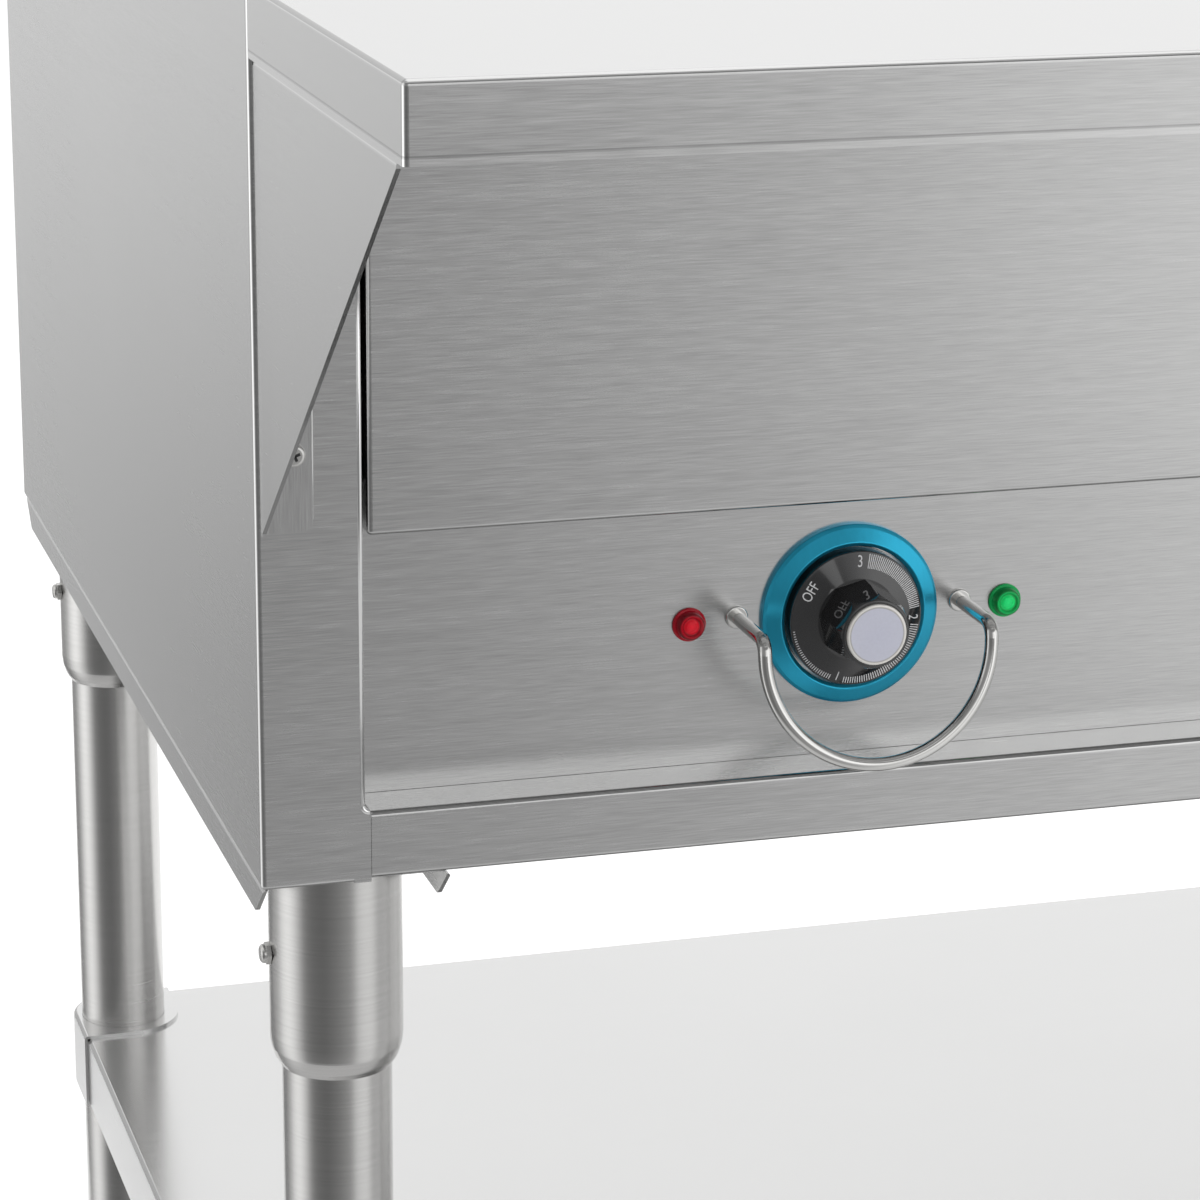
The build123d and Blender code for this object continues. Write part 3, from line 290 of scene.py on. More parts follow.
def brushed_sheet(
    name,
    tone,
    rough,
    contrast,
    quiet=0.07,
    painted_light_top_tone=None,
    top_rough=None,
    upright=False,
    metallic=1.0,
    hem=None,
):
    """Ground sheet steel, with grain across its front, or upright on a tab that was cut across the sheet.

    A face that looks along none of the three axes is a fold: an upright fold is painted lighter as a
    highlight, and a level one darker as shade. A top can get its own lighter tone, light from above painted
    in. A hem is a height with a thin crease painted dark as shade, and a doubled edge below it painted
    lighter as a highlight.
    """
    steel = Finish(name, Metallic=metallic, IOR=2.0)
    looks = steel.parts(steel.absolute(steel.node("ShaderNodeNewGeometry", output=1)))
    on_side = looks[0] > looks_along
    on_top = looks[2] > looks_along
    level_grain = (grain_length, grain_pitch, grain_pitch)
    front_grain = (grain_pitch, grain_pitch, grain_length) if upright else level_grain
    side_grain = (grain_pitch, grain_length, grain_pitch)

    def ground(coarseness, detail):
        """Scratches that run across the front, and from front to back on the sides."""
        layers = []
        for scales in (front_grain, side_grain):
            drawn_out = steel.stretched(steel.place, tuple(part / coarseness for part in scales))
            layers.append(steel.noise(drawn_out, 1.0, detail))
        return steel.node("ShaderNodeRGBToBW", {}, {0: steel.blended(on_side, *layers)})

    fine = ground(1, 1.0)
    grain = fine * fine_share + ground(5, 2.0) * (1 - fine_share)
    handled = steel.noise(steel.place, 5.0, 3.0, 0.55)
    strength = (on_side + on_top) * (quiet - contrast) + contrast
    shade = (grain - 0.5) * strength + (handled - 0.5) * handled_shade + 1.0
    # Painted shade along the hem's crease, and a painted highlight on the doubled edge below it.
    if hem:
        height = steel.parts(steel.place)[2]
        crease = steel.ramp(steel.absolute_number(height - hem), *crease_shade_limits, 1.0, 0.0)
        shade = shade - crease * crease_painted_shade + (hem > height) * hem_painted_highlight
    # Painted light in the colour: upright folds lighter, level folds darker, tops their own lighter tone.
    fold = steel.ramp(steel.extreme("MAXIMUM", looks), *fold_limits, 1.0, 0.0)
    painted_fold_tone = steel.blended(steel.ramp(looks[2], *level_fold_shade_limits), painted_highlight_fold_tone, level_fold_painted_shade_tone)
    tone_with_painted_light = steel.blended(fold, steel.blended(on_top, tone, painted_light_top_tone or tone), painted_fold_tone)
    steel.feed("Base Color", steel.shaded(tone_with_painted_light, shade))
    middle_rough = rough - (grain_rough + handled_rough) / 2
    top_step = on_top * ((top_rough or rough) - rough)
    flat_rough = top_step + grain * grain_rough + handled * handled_rough + middle_rough
    steel.feed("Roughness", flat_rough * (1 - fold) + fold * fold_rough)
    steel.relief(fine * strength * (1 - fold), grain_depth)
    finished.append(steel)
    return steel


print("scratches are", round(grain_depth * 1e6, 2), "thousandths of a millimetre deep")

# %% Mix six kinds of sheet
body_tone = (0.60, 0.60, 0.598)
body_rough = 0.25
body_contrast = 0.46
hem_height = 0.8476
body_steel = brushed_sheet("brushed_body_steel", body_tone, body_rough, body_contrast)
# The rail, shelf and undershelf tops get a lighter tone than their sides: painted light from above.
rail_steel = brushed_sheet(
    "brushed_rail_steel", body_tone, body_rough, body_contrast, painted_light_top_tone=(0.93, 0.93, 0.927)
)
shelf_steel = brushed_sheet(
    "brushed_shelf_steel",
    body_tone,
    body_rough,
    body_contrast,
    painted_light_top_tone=(0.73, 0.73, 0.727),
    top_rough=0.20,
    hem=hem_height,
)
under_steel = brushed_sheet(
    "matt_undershelf_steel",
    (0.72, 0.72, 0.717),
    0.30,
    0.20,
    painted_light_top_tone=(0.80, 0.80, 0.797),
    top_rough=0.20,
    metallic=0.9,
)
tab_steel = brushed_sheet("brushed_bracket_steel", body_tone, body_rough, 0.45, upright=True)
well_steel = brushed_sheet("drawn_well_steel", (0.56, 0.56, 0.555), 0.28, 0.08, quiet=0.08)
print("mixed", ", ".join(steel.material.name for steel in finished))

# %% Dress the sheet parts
dress(rail_steel, "front_rail")
dress(shelf_steel, "work_shelf", "top_deck")
dress(under_steel, "undershelf", "shelf_corner_plates")
dress(
    body_steel,
    "control_panel",
    "upper_front_panel",
    "rear_panel",
    "bottom_panel",
    "shelf_stiffeners",
    "leg_channel_left",
    "leg_channel_right",
    "side_panel_left",
    "side_panel_right",
)
dress(tab_steel, "shelf_bracket_left", "shelf_bracket_right")
dress(well_steel, "well_liner_1", "well_liner_2", "element_supports")
print("sheet parts dressed,", len(finished), "finishes so far")

# %% [markdown]
# ## Round tube and turned parts
#
# The legs are polished on a belt while they turn, so their scratches run round them. The grain could follow
# an unwrapped tube, but the legs all stand upright, so the same noise does it in one finish: drawn out in
# the level directions and packed tightly along the leg's height.


# %% Steel with grain round an upright axis
turned_rough = 0.06
wiped_rough = 0.05


def turned_steel(name, tone, rough, scales=(18, 18, 1500), contrast=0.16, depth=0.0000005, edge=0.0):
    """Round steel whose grain goes round it."""
    steel = Finish(name, Metallic=1.0, IOR=2.0)
    rings = steel.noise(steel.stretched(steel.place, scales), 1.0, 2.0, 0.5)
    handled = steel.noise(steel.place, 9.0, 3.0, 0.5)
    shade = rings * contrast + handled * handled_shade + (1 - (contrast + handled_shade) / 2)
    steel.feed("Base Color", steel.shaded(tone, shade))
    middle_rough = rough - (turned_rough + wiped_rough) / 2
    steel.feed("Roughness", rings * turned_rough + handled * wiped_rough + middle_rough)
    steel.relief(rings, depth, edge)
    finished.append(steel)
    return steel


print("grain round an axis is ready")

# %% Dress the legs, guards and screws
tube_steel = turned_steel("polished_leg_tube", (0.62, 0.615, 0.605), 0.25)
wire_steel = turned_steel(
    "bright_guard_wire", (0.74, 0.735, 0.72), 0.13, scales=(260, 260, 260), contrast=0.04, depth=0.000001
)
screw_steel = turned_steel(
    "turned_screw_steel", (0.62, 0.615, 0.60), 0.26, scales=(900, 900, 900), contrast=0.12, edge=0.0003
)
dress(
    tube_steel,
    "leg_sockets",
    *(f"leg_{end}_{side}" for end in ("front", "rear") for side in ("left", "right")),
    *(f"foot_{end}_{side}" for end in ("front", "rear") for side in ("left", "right")),
)
dress(wire_steel, "knob_guard_1", "knob_guard_2")
dress(
    screw_steel,
    "regulator_screws",
    "guard_nuts",
    "bracket_screws",
    "leg_set_screws",
    "panel_screws",
    "regulator_shaft_1",
    "regulator_shaft_2",
)
print("turned steel is on the legs, guards and screws")

# %% [markdown]
# ## Parts inside the body
#
# Nobody sees these while food is served, but the open wells and the underside show some of them: galvanised
# shield, mineral wool, oxidised heater sheaths, brass nuts, phenolic regulators and glazed ceramic. Each
# could have its own network, but one helper with a choice of pattern keeps them alike: zinc flakes, loose
# fibres or plain mottling.


# %% A finish between two colours
speckle_rough = 0.12


def speckled(name, dark, light, rough, scale, kind="noise", depth=0.0, **constants):
    """A finish that moves between two colours by one pattern."""
    made = Finish(name, **constants)
    if kind == "flakes":
        flakes = made.node(
            "ShaderNodeTexVoronoi", {"feature": "F1"}, {"Vector": made.place, "Scale": scale}
        )
        pattern = made.node("ShaderNodeRGBToBW", {}, {0: made.outputs(flakes)["Color"]})
    elif kind == "fibres":
        pattern = made.noise(made.stretched(made.place, (1.0, 1.0, 4.0)), scale, 6.0, 0.75)
    else:
        pattern = made.noise(made.place, scale, 4.0, 0.6)
    made.feed("Base Color", made.blended(pattern, dark, light))
    made.feed("Roughness", pattern * speckle_rough + (rough - speckle_rough / 2))
    made.relief(pattern, depth)
    finished.append(made)
    return made


print("patterns to choose from: flakes, fibres and noise")

# %% Mix the finishes of the hidden parts
galvanised = speckled(
    "galvanised_shield", (0.42, 0.44, 0.45), (0.60, 0.62, 0.63), 0.45, 70, "flakes", 0.00001, Metallic=0.9
)
wool = speckled("mineral_wool", (0.42, 0.36, 0.20), (0.74, 0.68, 0.47), 0.95, 130, "fibres", 0.0015)
sheath = speckled(
    "oxidised_sheath", (0.09, 0.085, 0.08), (0.22, 0.20, 0.18), 0.5, 90, depth=0.00002, Metallic=0.8
)
brass = speckled(
    "machined_brass", (0.58, 0.42, 0.19), (0.72, 0.55, 0.29), 0.3, 120, depth=0.00001, Metallic=1.0
)
phenolic = speckled("phenolic_body", (0.20, 0.08, 0.055), (0.28, 0.11, 0.08), 0.5, 300, depth=0.00002)
ceramic = speckled("glazed_ceramic", (0.74, 0.72, 0.66), (0.84, 0.82, 0.77), 0.25, 60, depth=0.00002)
sleeve = speckled("silicone_sleeve", (0.34, 0.035, 0.03), (0.47, 0.06, 0.05), 0.55, 400, depth=0.00001)
moulding = speckled(
    "black_moulding", (0.022, 0.022, 0.023), (0.040, 0.040, 0.042), 0.5, 500, depth=0.00002
)
cast_metal = speckled(
    "cast_insert", (0.42, 0.42, 0.42), (0.58, 0.58, 0.57), 0.5, 220, depth=0.00005, Metallic=1.0
)
print("mixed,", len(finished), "finishes so far")

# %% Dress the hidden parts
dress(galvanised, "heat_shield")
dress(wool, "well_insulation_1", "well_insulation_2")
dress(sheath, "heating_element_1", "heating_element_2")
dress(brass, "element_fittings")
dress(phenolic, "energy_regulator_1", "energy_regulator_2")
dress(ceramic, "terminal_block")
dress(sleeve, "wiring")
dress(moulding, "pilot_lamp_bodies", "cable_gland", "gland_nut")
dress(cast_metal, "leg_inserts", "shelf_set_screws")
print("hidden parts dressed, from", galvanised.material.name, "to", cast_metal.material.name)

# %% [markdown]
# ## The controls
#
# Three things draw the eye: a gloss black dial, a blue-green metal ring round it and a silver cap on its
# grip. Gloss plastic isn't perfect: its surface waves a little and carries fine wiping marks, and the waves
# are what make a reflection look moulded and not drawn.


# %% Gloss with waves and wiping marks
wiping_rough = 0.08


def gloss(name, colour, rough, wave=0.00002, edge=0.0, **constants):
    """Moulded or coated gloss with faint waves and wiping marks."""
    made = Finish(name, **constants)
    waves = made.noise(made.place, 90.0, 1.0, 0.4)
    wiping = made.noise(made.stretched(made.place, (500, 500, 90)), 1.0, 4.0, 0.7)
    lighter = tuple(min(1.0, part * 1.15 + 0.004) for part in colour)
    made.feed("Base Color", made.blended(wiping, colour, lighter))
    made.feed("Roughness", wiping * wiping_rough + (rough - wiping_rough / 2))
    made.relief(waves, wave, edge)
    finished.append(made)
    return made


print("gloss changes its roughness by", wiping_rough)

# %% Dress the dial and the ring
knob_black = gloss(
    "knob_gloss_black", (0.010, 0.010, 0.011), 0.07, edge=0.0004, IOR=1.55, Coat_Weight=1.0
)
ring_blue = gloss(
    "ring_blue_anodised", (0.032, 0.47, 0.71), 0.31, wave=0.000003, edge=0.0003, Metallic=0.85, IOR=1.6
)
dress(knob_black, "knob_1", "knob_2")
dress(ring_blue, "bezel_ring_1", "bezel_ring_2")
print("dial and ring dressed")

# %% [markdown]
# ## Round patterns about an axis
#
# The cap has a rolled rim, and each lamp lens has rings inside it, which throw the light forwards.
# These could be cut as real grooves, but they are a fraction of a millimetre deep. A pattern on the
# distance from the axis draws them, as small bumps in the lenses, and paints light into the colour: a
# painted highlight and a dark line of painted shade on the cap's rim, and in each lens the lamp's glow
# with dark and light rings of painted shade and highlight. One finish serves both wells, because it
# takes the nearest of two axes.


# %% Distance from the nearest axis
knob_height = 0.627
lamp_aside = 0.0625
well_aside = 0.1775
groove_share = 0.09
speck_shade = 0.10
speck_rough = 0.04


def from_axis(made, *centres):
    """Metres from the nearest of several axes that run front to back at knob height."""
    distances = []
    for centre in centres:
        axis = (centre, 0, knob_height)
        offset = made.node("ShaderNodeVectorMath", {"operation": "SUBTRACT"}, {0: made.place, 1: axis})
        flat = made.stretched(offset, (1, 0, 1))
        distances.append(made.node("ShaderNodeVectorMath", {"operation": "LENGTH"}, {0: flat}, output=1))
    return made.extreme("MINIMUM", distances)


def ringed(name, centres, stops, reach, rough, ridge=0.0, edge=0.0003, **constants):
    """A gloss finish whose colour and height change from an axis outwards."""
    made = Finish(name, **constants)
    share = from_axis(made, *centres) * (1 / reach)
    specks = made.noise(made.place, 900.0, 2.0, 0.5)
    # The ramp's colours carry painted light: highlight and shade on the cap's rim, and glow, shade and
    # highlights in the lenses.
    ring = made.node("ShaderNodeValToRGB", {"stops": stops}, {0: share})
    shade = specks * speck_shade + (1 - speck_shade / 2)
    made.feed("Base Color", made.shaded(ring, shade))
    made.feed("Roughness", specks * speck_rough + (rough - speck_rough / 2))
    grooves = made.node("ShaderNodeMath", {"operation": "PINGPONG"}, {0: share, 1: groove_share})
    made.relief(grooves + specks * 0.02, ridge, edge)
    finished.append(made)
    return made


print("axes at x", (-well_aside, well_aside), "and height", knob_height)

# %% Dress the cap and the lenses
cap_reach = 0.0112
lens_reach = 0.0065
# The cap's lighter band at the rim is a painted highlight, and the dark line inside it painted shade.
cap_silver = ringed(
    "cap_satin_silver",
    (-well_aside, well_aside),
    [
        (0.0, (0.62, 0.63, 0.74)), (0.89, (0.64, 0.65, 0.75)), (0.925, (0.42, 0.41, 0.40)),
        (0.96, (0.84, 0.82, 0.78)),
    ],
    cap_reach,
    0.30,
    Metallic=0.55,
)
# The lens's bright middle and its dark and light rings are painted light: the lamp's glow, and the shade and
# highlights of the rings.
lens_red = ringed(
    "lamp_lens_red",
    (-well_aside - lamp_aside, well_aside - lamp_aside),
    [
        (0.0, (0.85, 0.010, 0.03)), (0.40, (0.66, 0.004, 0.018)), (0.50, (0.26, 0.0, 0.007)),
        (0.60, (0.46, 0.002, 0.014)), (0.74, (0.12, 0.0, 0.004)), (0.84, (0.38, 0.002, 0.014)),
    ],
    lens_reach,
    0.05,
    ridge=0.0010,
    IOR=1.40,
)
# The same painted glow, shade and highlights, in green.
lens_green = ringed(
    "lamp_lens_green",
    (-well_aside + lamp_aside, well_aside + lamp_aside),
    [
        (0.0, (0.015, 0.90, 0.24)), (0.40, (0.006, 0.70, 0.16)), (0.50, (0.0, 0.30, 0.06)),
        (0.60, (0.004, 0.52, 0.12)), (0.74, (0.0, 0.16, 0.03)), (0.84, (0.002, 0.42, 0.10)),
    ],
    lens_reach,
    0.05,
    ridge=0.0010,
    IOR=1.40,
)
dress(cap_silver, "knob_cap_1", "knob_cap_2")
print("controls dressed,", len(finished), "finishes so far")

# %% [markdown]
# ## The printed dial
#
# White marks are printed on the dial's rim: the numbers 3, 2 and 1, the word OFF, and rows of fine ticks
# that grow shorter as the heat goes down. They could be painted into the material, but letters are hard to
# draw with noise, so each mark is a thin solid that rides on the knob and turns with it.

# %% Helpers for small solids
import bmesh

capital_share = 0.72


def piece_from(mesh_builder, name, finish, body):
    """Turns a bmesh into an object at the origin, dresses it and lets it ride on a body."""
    mesh = bpy.data.meshes.new(name)
    mesh_builder.to_mesh(mesh)
    mesh_builder.free()
    piece = bpy.data.objects.new(name, mesh)
    bpy.context.scene.collection.objects.link(piece)
    mesh.materials.append(finish.material)
    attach(piece, body)
    return piece


def add_bar(into, length, width, height, place):
    """Adds a small bar, drawn about its own middle, at a place given as a matrix."""
    shape = Matrix.Diagonal((length, width, height, 1.0))
    bmesh.ops.create_cube(into, size=1.0, matrix=place @ shape)


def add_text(into, words, height, thickness, place, width=1.0):
    """Adds raised letters, centred, made from Blender's own font and narrowed to a share of its width."""
    curve = bpy.data.curves.new("lettering", "FONT")
    curve.body = words
    curve.size = height / capital_share
    curve.align_x = "CENTER"
    curve.align_y = "CENTER"
    curve.extrude = thickness / 2
    curve.resolution_u = 4
    source = bpy.data.objects.new("lettering", curve)
    mesh = bpy.data.meshes.new_from_object(source)
    mesh.transform(place @ Matrix.Diagonal((width, 1, 1, 1)))
    into.from_mesh(mesh)
    bpy.data.objects.remove(source)
    bpy.data.curves.remove(curve)
    bpy.data.meshes.remove(mesh)


print("capital letters take", capital_share, "of the size of a font")

# %% Where the marks go
white_print = speckled(
    "dial_white_print", (0.60, 0.60, 0.61), (0.76, 0.76, 0.77), 0.45, 900, depth=0.000002
)
dial_edge = 0.0250
skirt_radius = 0.0258
skirt_depth = 0.0074
dial_rise = (0.0016, 0.0102)
print_thickness = 0.00006
tick_width = 0.00034
letter_width = 0.74
numbers = (
    ("3", 88, 0.0046, 0.0219),
    ("OFF", 148, 0.0042, 0.0216),
    ("2", -2.5, 0.0040, 0.0222),
    ("1", -108, 0.0036, 0.0226),
)
tick_rows = (
    (79.0, 7.0, 38, 0.0055, 0.0042),
    (-10.0, -101.0, 42, 0.0034, 0.0024),
    (-115.0, -172.0, 26, 0.0020, 0.0007),
)


def on_dial(index, degrees, radius):
    """The place of a mark on one dial: its top looks outwards from the middle."""
    low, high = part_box(f"knob_{index}")
    middle_x = (low[0] + high[0]) / 2
    middle_z = (low[2] + high[2]) / 2
    slope = dial_rise[0] / dial_rise[1]
    face = high[1] - skirt_depth - slope * (skirt_radius - radius)
    stand_up = Matrix.Rotation(math.radians(90), 4, "X")
    turn = Matrix.Rotation(math.radians(degrees - 90), 4, "Z")
    lie_on_cone = Matrix.Translation((0, radius, 0)) @ Matrix.Rotation(-math.atan(slope), 4, "X")
    lift = Matrix.Translation((0, 0, print_thickness / 2))
    return Matrix.Translation((middle_x, face, middle_z)) @ stand_up @ turn @ lie_on_cone @ lift


print("numbers in", letter_width, "of their full width, and ticks of", tick_width * 1000, "mm")

# %% Print the marks
for index in (1, 2):
    marks = bmesh.new()
    for words, degrees, height, radius in numbers:
        add_text(marks, words, height, print_thickness, on_dial(index, degrees, radius), letter_width)
    for first, last, count, long, short in tick_rows:
        for step in range(count):
            share = step / (count - 1)
            length = long + (short - long) * share
            spot = on_dial(index, first + (last - first) * share, dial_edge - length / 2)
            add_bar(marks, tick_width, length, print_thickness, spot)
    piece_from(marks, f"dial_marks_{index}", white_print, f"knob_{index}")
print("dial printed with", sum(row[2] for row in tick_rows), "ticks")

# %% [markdown]
# ## Lamp lenses
#
# A pilot lamp's lens is one moulding: a thin flange against the panel, a short wall, a rounded rim and a
# face with rings. A cylinder with a bevel would lose the flange and the rings, which catch most of the
# highlights. So half of its outline is drawn once, as radii and heights, and spun round the lamp's axis.


# %% Helper: spin an outline
def spin_outline(outline, place, steps=48, sharp=32):
    """Spins a list of (radius, height) points round an axis, and marks the sharp rings."""
    turned = bmesh.new()
    points = [turned.verts.new((radius, 0, height)) for radius, height in outline]
    sides = [turned.edges.new(pair) for pair in zip(points, points[1:])]
    bmesh.ops.spin(
        turned,
        geom=points + sides,
        cent=(0, 0, 0),
        axis=(0, 0, 1),
        angle=math.tau,
        steps=steps,
        use_merge=True,
    )
    bmesh.ops.remove_doubles(turned, verts=turned.verts, dist=1e-6)
    bmesh.ops.recalc_face_normals(turned, faces=turned.faces)
    for face in turned.faces:
        face.smooth = True
    for side in turned.edges:
        side.smooth = side.calc_face_angle(0) < math.radians(sharp)
    bmesh.ops.transform(turned, matrix=place, verts=turned.verts)
    return turned


def add_mesh(into, part):
    """Puts one bmesh into another."""
    passing = bpy.data.meshes.new("passing")
    part.to_mesh(passing)
    part.free()
    into.from_mesh(passing)
    bpy.data.meshes.remove(passing)


print("outlines can be spun")

# %% Spin the four lenses
millimetre = 0.001
lens_outline = [
    (0.0, 4.2), (0.5, 4.2), (0.7, 4.05), (0.9, 4.2), (1.3, 4.2), (1.5, 4.05), (1.7, 4.2), (2.1, 4.18),
    (2.4, 4.0), (2.7, 3.75), (3.3, 3.75), (3.6, 4.1), (4.0, 4.4), (4.5, 4.4), (4.9, 4.15), (5.1, 3.7),
    (5.35, 1.5), (5.5, 1.1), (6.1, 1.05), (6.4, 0.75), (6.45, 0.1), (0.0, 0.1),
]
outline = [(radius * millimetre, height * millimetre) for radius, height in lens_outline]
to_front = Matrix.Rotation(math.radians(90), 4, "X")
for colour, finish, side in (("red", lens_red, -1), ("green", lens_green, 1)):
    node = f"{colour}_lamp_lenses"
    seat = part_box(node)[1][1]
    pair = bmesh.new()
    for well in (-well_aside, well_aside):
        place = Matrix.Translation((well + side * lamp_aside, seat, knob_height)) @ to_front
        add_mesh(pair, spin_outline(outline, place))
    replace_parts(piece_from(pair, f"{colour}_lenses", finish, "table"), node)
print("lenses stand", max(height for _, height in lens_outline), "mm out of the panel")

# %% [markdown]
# ## Rolled edges
#
# Where sheet ends in the open it is rolled or ground round, so that nobody is cut, and that edge shows as
# one bright line. The CAD gives the stile and the bracket's tab square edges there. A bevel on them would
# change the CAD meshes, so a thin bead is laid over each edge: straight rods, and a quarter ring where the
# stile turns into the ledge. The beads' steel is painted far lighter than the sheet, so the bright line is
# partly their real roundness and partly a painted highlight. A small plate closes the notch between stile
# and ledge at each end.


# %% Helpers: rods and arcs
def add_rod(into, start, end, radius):
    """A round rod between two points."""
    start, end = Vector(start), Vector(end)
    along = (end - start).to_track_quat("Z", "Y").to_matrix().to_4x4()
    made = bmesh.ops.create_cone(
        into, cap_ends=True, segments=12, radius1=radius, radius2=radius, depth=(end - start).length,
        matrix=Matrix.Translation((start + end) / 2) @ along,
    )
    for face in {face for corner in made["verts"] for face in corner.link_faces}:
        face.smooth = len(face.verts) == 4


def add_quarter_ring(into, start, centre, axis, radius, turn):
    """A round bar bent round a centre, from a start that lies upright above or below the bend."""
    ring = bmesh.new()
    bmesh.ops.create_circle(ring, segments=12, radius=radius, matrix=Matrix.Translation(start))
    bmesh.ops.spin(ring, geom=ring.edges[:], cent=centre, axis=axis, angle=math.radians(turn), steps=8)
    bmesh.ops.remove_doubles(ring, verts=ring.verts, dist=1e-6)
    bmesh.ops.recalc_face_normals(ring, faces=ring.faces)
    for face in ring.faces:
        face.smooth = True
    add_mesh(into, ring)


print("rods and quarter rings are ready")

# %% Lay the beads
# The bead steel is far lighter than the sheet: a painted highlight on the rounded edge.
rolled_edge_highlight_steel = turned_steel(
    "rolled_edge_painted_highlight", (0.93, 0.93, 0.927), 0.16, scales=(700, 700, 700), contrast=0.06, depth=0.0000002
)
stile_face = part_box("side_panel_left")[0][1]
tab_face = stile_face - 0.0015
stile_edge = -0.3679
ledge_top = 0.5724
stile_top = 0.846
bead = 0.0011
set_in = 0.00078
corner_turn = 0.0026
tab_edge = 0.3856
tab_bead = 0.00036
tab_set_in = 0.0002
tab_heights = (0.6830, 0.8400)
beads = bmesh.new()
for side in (-1, 1):
    edge = abs(stile_edge) + set_in
    across = side * edge
    depth = stile_face + set_in
    turn_height = ledge_top + corner_turn
    add_rod(beads, (across, depth, turn_height), (across, depth, stile_top), bead)
    centre = (side * (edge - corner_turn), depth, turn_height)
    add_quarter_ring(beads, (across, depth, turn_height), centre, (0, side, 0), bead, 90)
    tab_ends = [(side * tab_edge, tab_face + tab_set_in, height) for height in tab_heights]
    add_rod(beads, *tab_ends, tab_bead)
piece_from(beads, "rolled_edges", rolled_edge_highlight_steel, "table")
print("beads of", bead * 2000, "mm laid")

# %% Close the ends of the ledge
panel_face = -0.1577
closer_size = (0.0030, 0.0205, 0.0010)
closer_aside = 0.3665
closer_drop = 0.0008
closers = bmesh.new()
for side in (-1, 1):
    middle = (side * closer_aside, (stile_face + panel_face) / 2, ledge_top - closer_drop)
    add_bar(closers, *closer_size, Matrix.Translation(middle))
piece_from(closers, "ledge_end_closers", body_steel, "table")
print("closing plates of", [round(part * 1000, 1) for part in closer_size], "mm laid")

# %% [markdown]
# ## Crosses in the screw heads
#
# The pan heads that hold the brackets to the stiles have cross recesses. Cutting them would mean changing
# the CAD meshes, which stay as they are. A dark cross, a few hundredths of a millimetre proud of the crown,
# stands in for each recess: painted shade where the hollow would be in shadow.


# %% Lay a cross on each pan head
# The crosses are near black: painted shade where each screw's recess would be in shadow.
recess_painted_shadow = speckled(
    "recess_painted_shadow", (0.010, 0.010, 0.010), (0.030, 0.030, 0.032), 0.6, 900, depth=0.000002
)
cross_turn = 20
cross_span = 0.0040
cross_rise = 0.00008
arm_share = 0.26
head_rise = 0.0028
screw_aside = 0.3924
screw_heights = (0.7067, 0.7967)


def add_cross(into, place, span):
    """Two thin bars, one across the other."""
    for degrees in (cross_turn, cross_turn + 90):
        turn = Matrix.Rotation(math.radians(degrees), 4, "Z")
        add_bar(into, span, span * arm_share, cross_rise, place @ turn)


crosses = bmesh.new()
crown = tab_face - head_rise
for side in (-1, 1):
    for height in screw_heights:
        add_cross(crosses, Matrix.Translation((side * screw_aside, crown, height)) @ to_front, cross_span)
piece_from(crosses, "bracket_screw_crosses", recess_painted_shadow, "table")
print("crosses laid at y", round(crown, 4))

# %% [markdown]
# ## The studio
#
# Steel shows what stands around it more than its own colour. The photographer's room is dim in front, with
# one tall lamp at the left and a wide one at the front right, and white behind. That is why the leg has a
# light band, a dark band and a light band again, and why the front panels grow lighter towards the right.
# Lamps with a size would do, but a ring of brightness painted on the room itself is softer, and one line of
# numbers sets it. Three such rings, one below another, make the room, and the camera itself sees white
# paper behind the table.

# %% Helper: lay paper
floor_drop = 0.0005


def lay_floor(name, rectangles, material):
    """Lays flat paper just under the feet, as rectangles given by their low and high corners."""
    mesh = bpy.data.meshes.new(name)
    paper = bmesh.new()
    for low_x, low_y, high_x, high_y in rectangles:
        middle = Matrix.Translation(((low_x + high_x) / 2, (low_y + high_y) / 2, -floor_drop))
        half = Matrix.Diagonal(((high_x - low_x) / 2, (high_y - low_y) / 2, 1, 1))
        bmesh.ops.create_grid(paper, x_segments=1, y_segments=1, size=1.0, matrix=middle @ half)
    paper.to_mesh(mesh)
    paper.free()
    mesh.materials.append(material)
    laid = bpy.data.objects.new(name, mesh)
    bpy.context.scene.collection.objects.link(laid)
    return laid


print("paper can be laid", floor_drop * 1000, "mm under the feet")

# %% Two pieces of white paper
floor_reach = 20.0
behind_line = 0.45
left_line = -0.6
paper_tone = 0.84
paper_glow = 0.36
floor_paper = bpy.data.materials.new("studio_paper")
floor_paper.use_nodes = True
sheet = Network(floor_paper.node_tree)
diffuse = sheet.node("ShaderNodeBsdfDiffuse", {}, {"Color": (paper_tone, paper_tone, paper_tone, 1)})
glowing = sheet.node("ShaderNodeEmission", {}, {"Color": (1, 1, 1, 1), "Strength": paper_glow})
rays = sheet.outputs(sheet.node("ShaderNodeLightPath"))
seen = sheet.extreme("MAXIMUM", [rays[f"Is {way} Ray"] for way in ("Camera", "Glossy", "Transmission")])
both = sheet.node("ShaderNodeAddShader", {}, {0: diffuse, 1: glowing})
paper_shader = sheet.node("ShaderNodeMixShader", {}, {0: seen, 1: diffuse, 2: both})
sheet.node("ShaderNodeOutputMaterial", {}, {0: paper_shader})
lay_floor("studio_floor_behind", [(left_line, behind_line, floor_reach, floor_reach)], floor_paper)
floor_in_front = lay_floor(
    "studio_floor_in_front",
    [
        (-floor_reach, -floor_reach, left_line, floor_reach),
        (left_line, -floor_reach, floor_reach, behind_line),
    ],
    floor_paper,
)
floor_in_front.visible_glossy = False
print("floor laid,", floor_reach, "m each way")

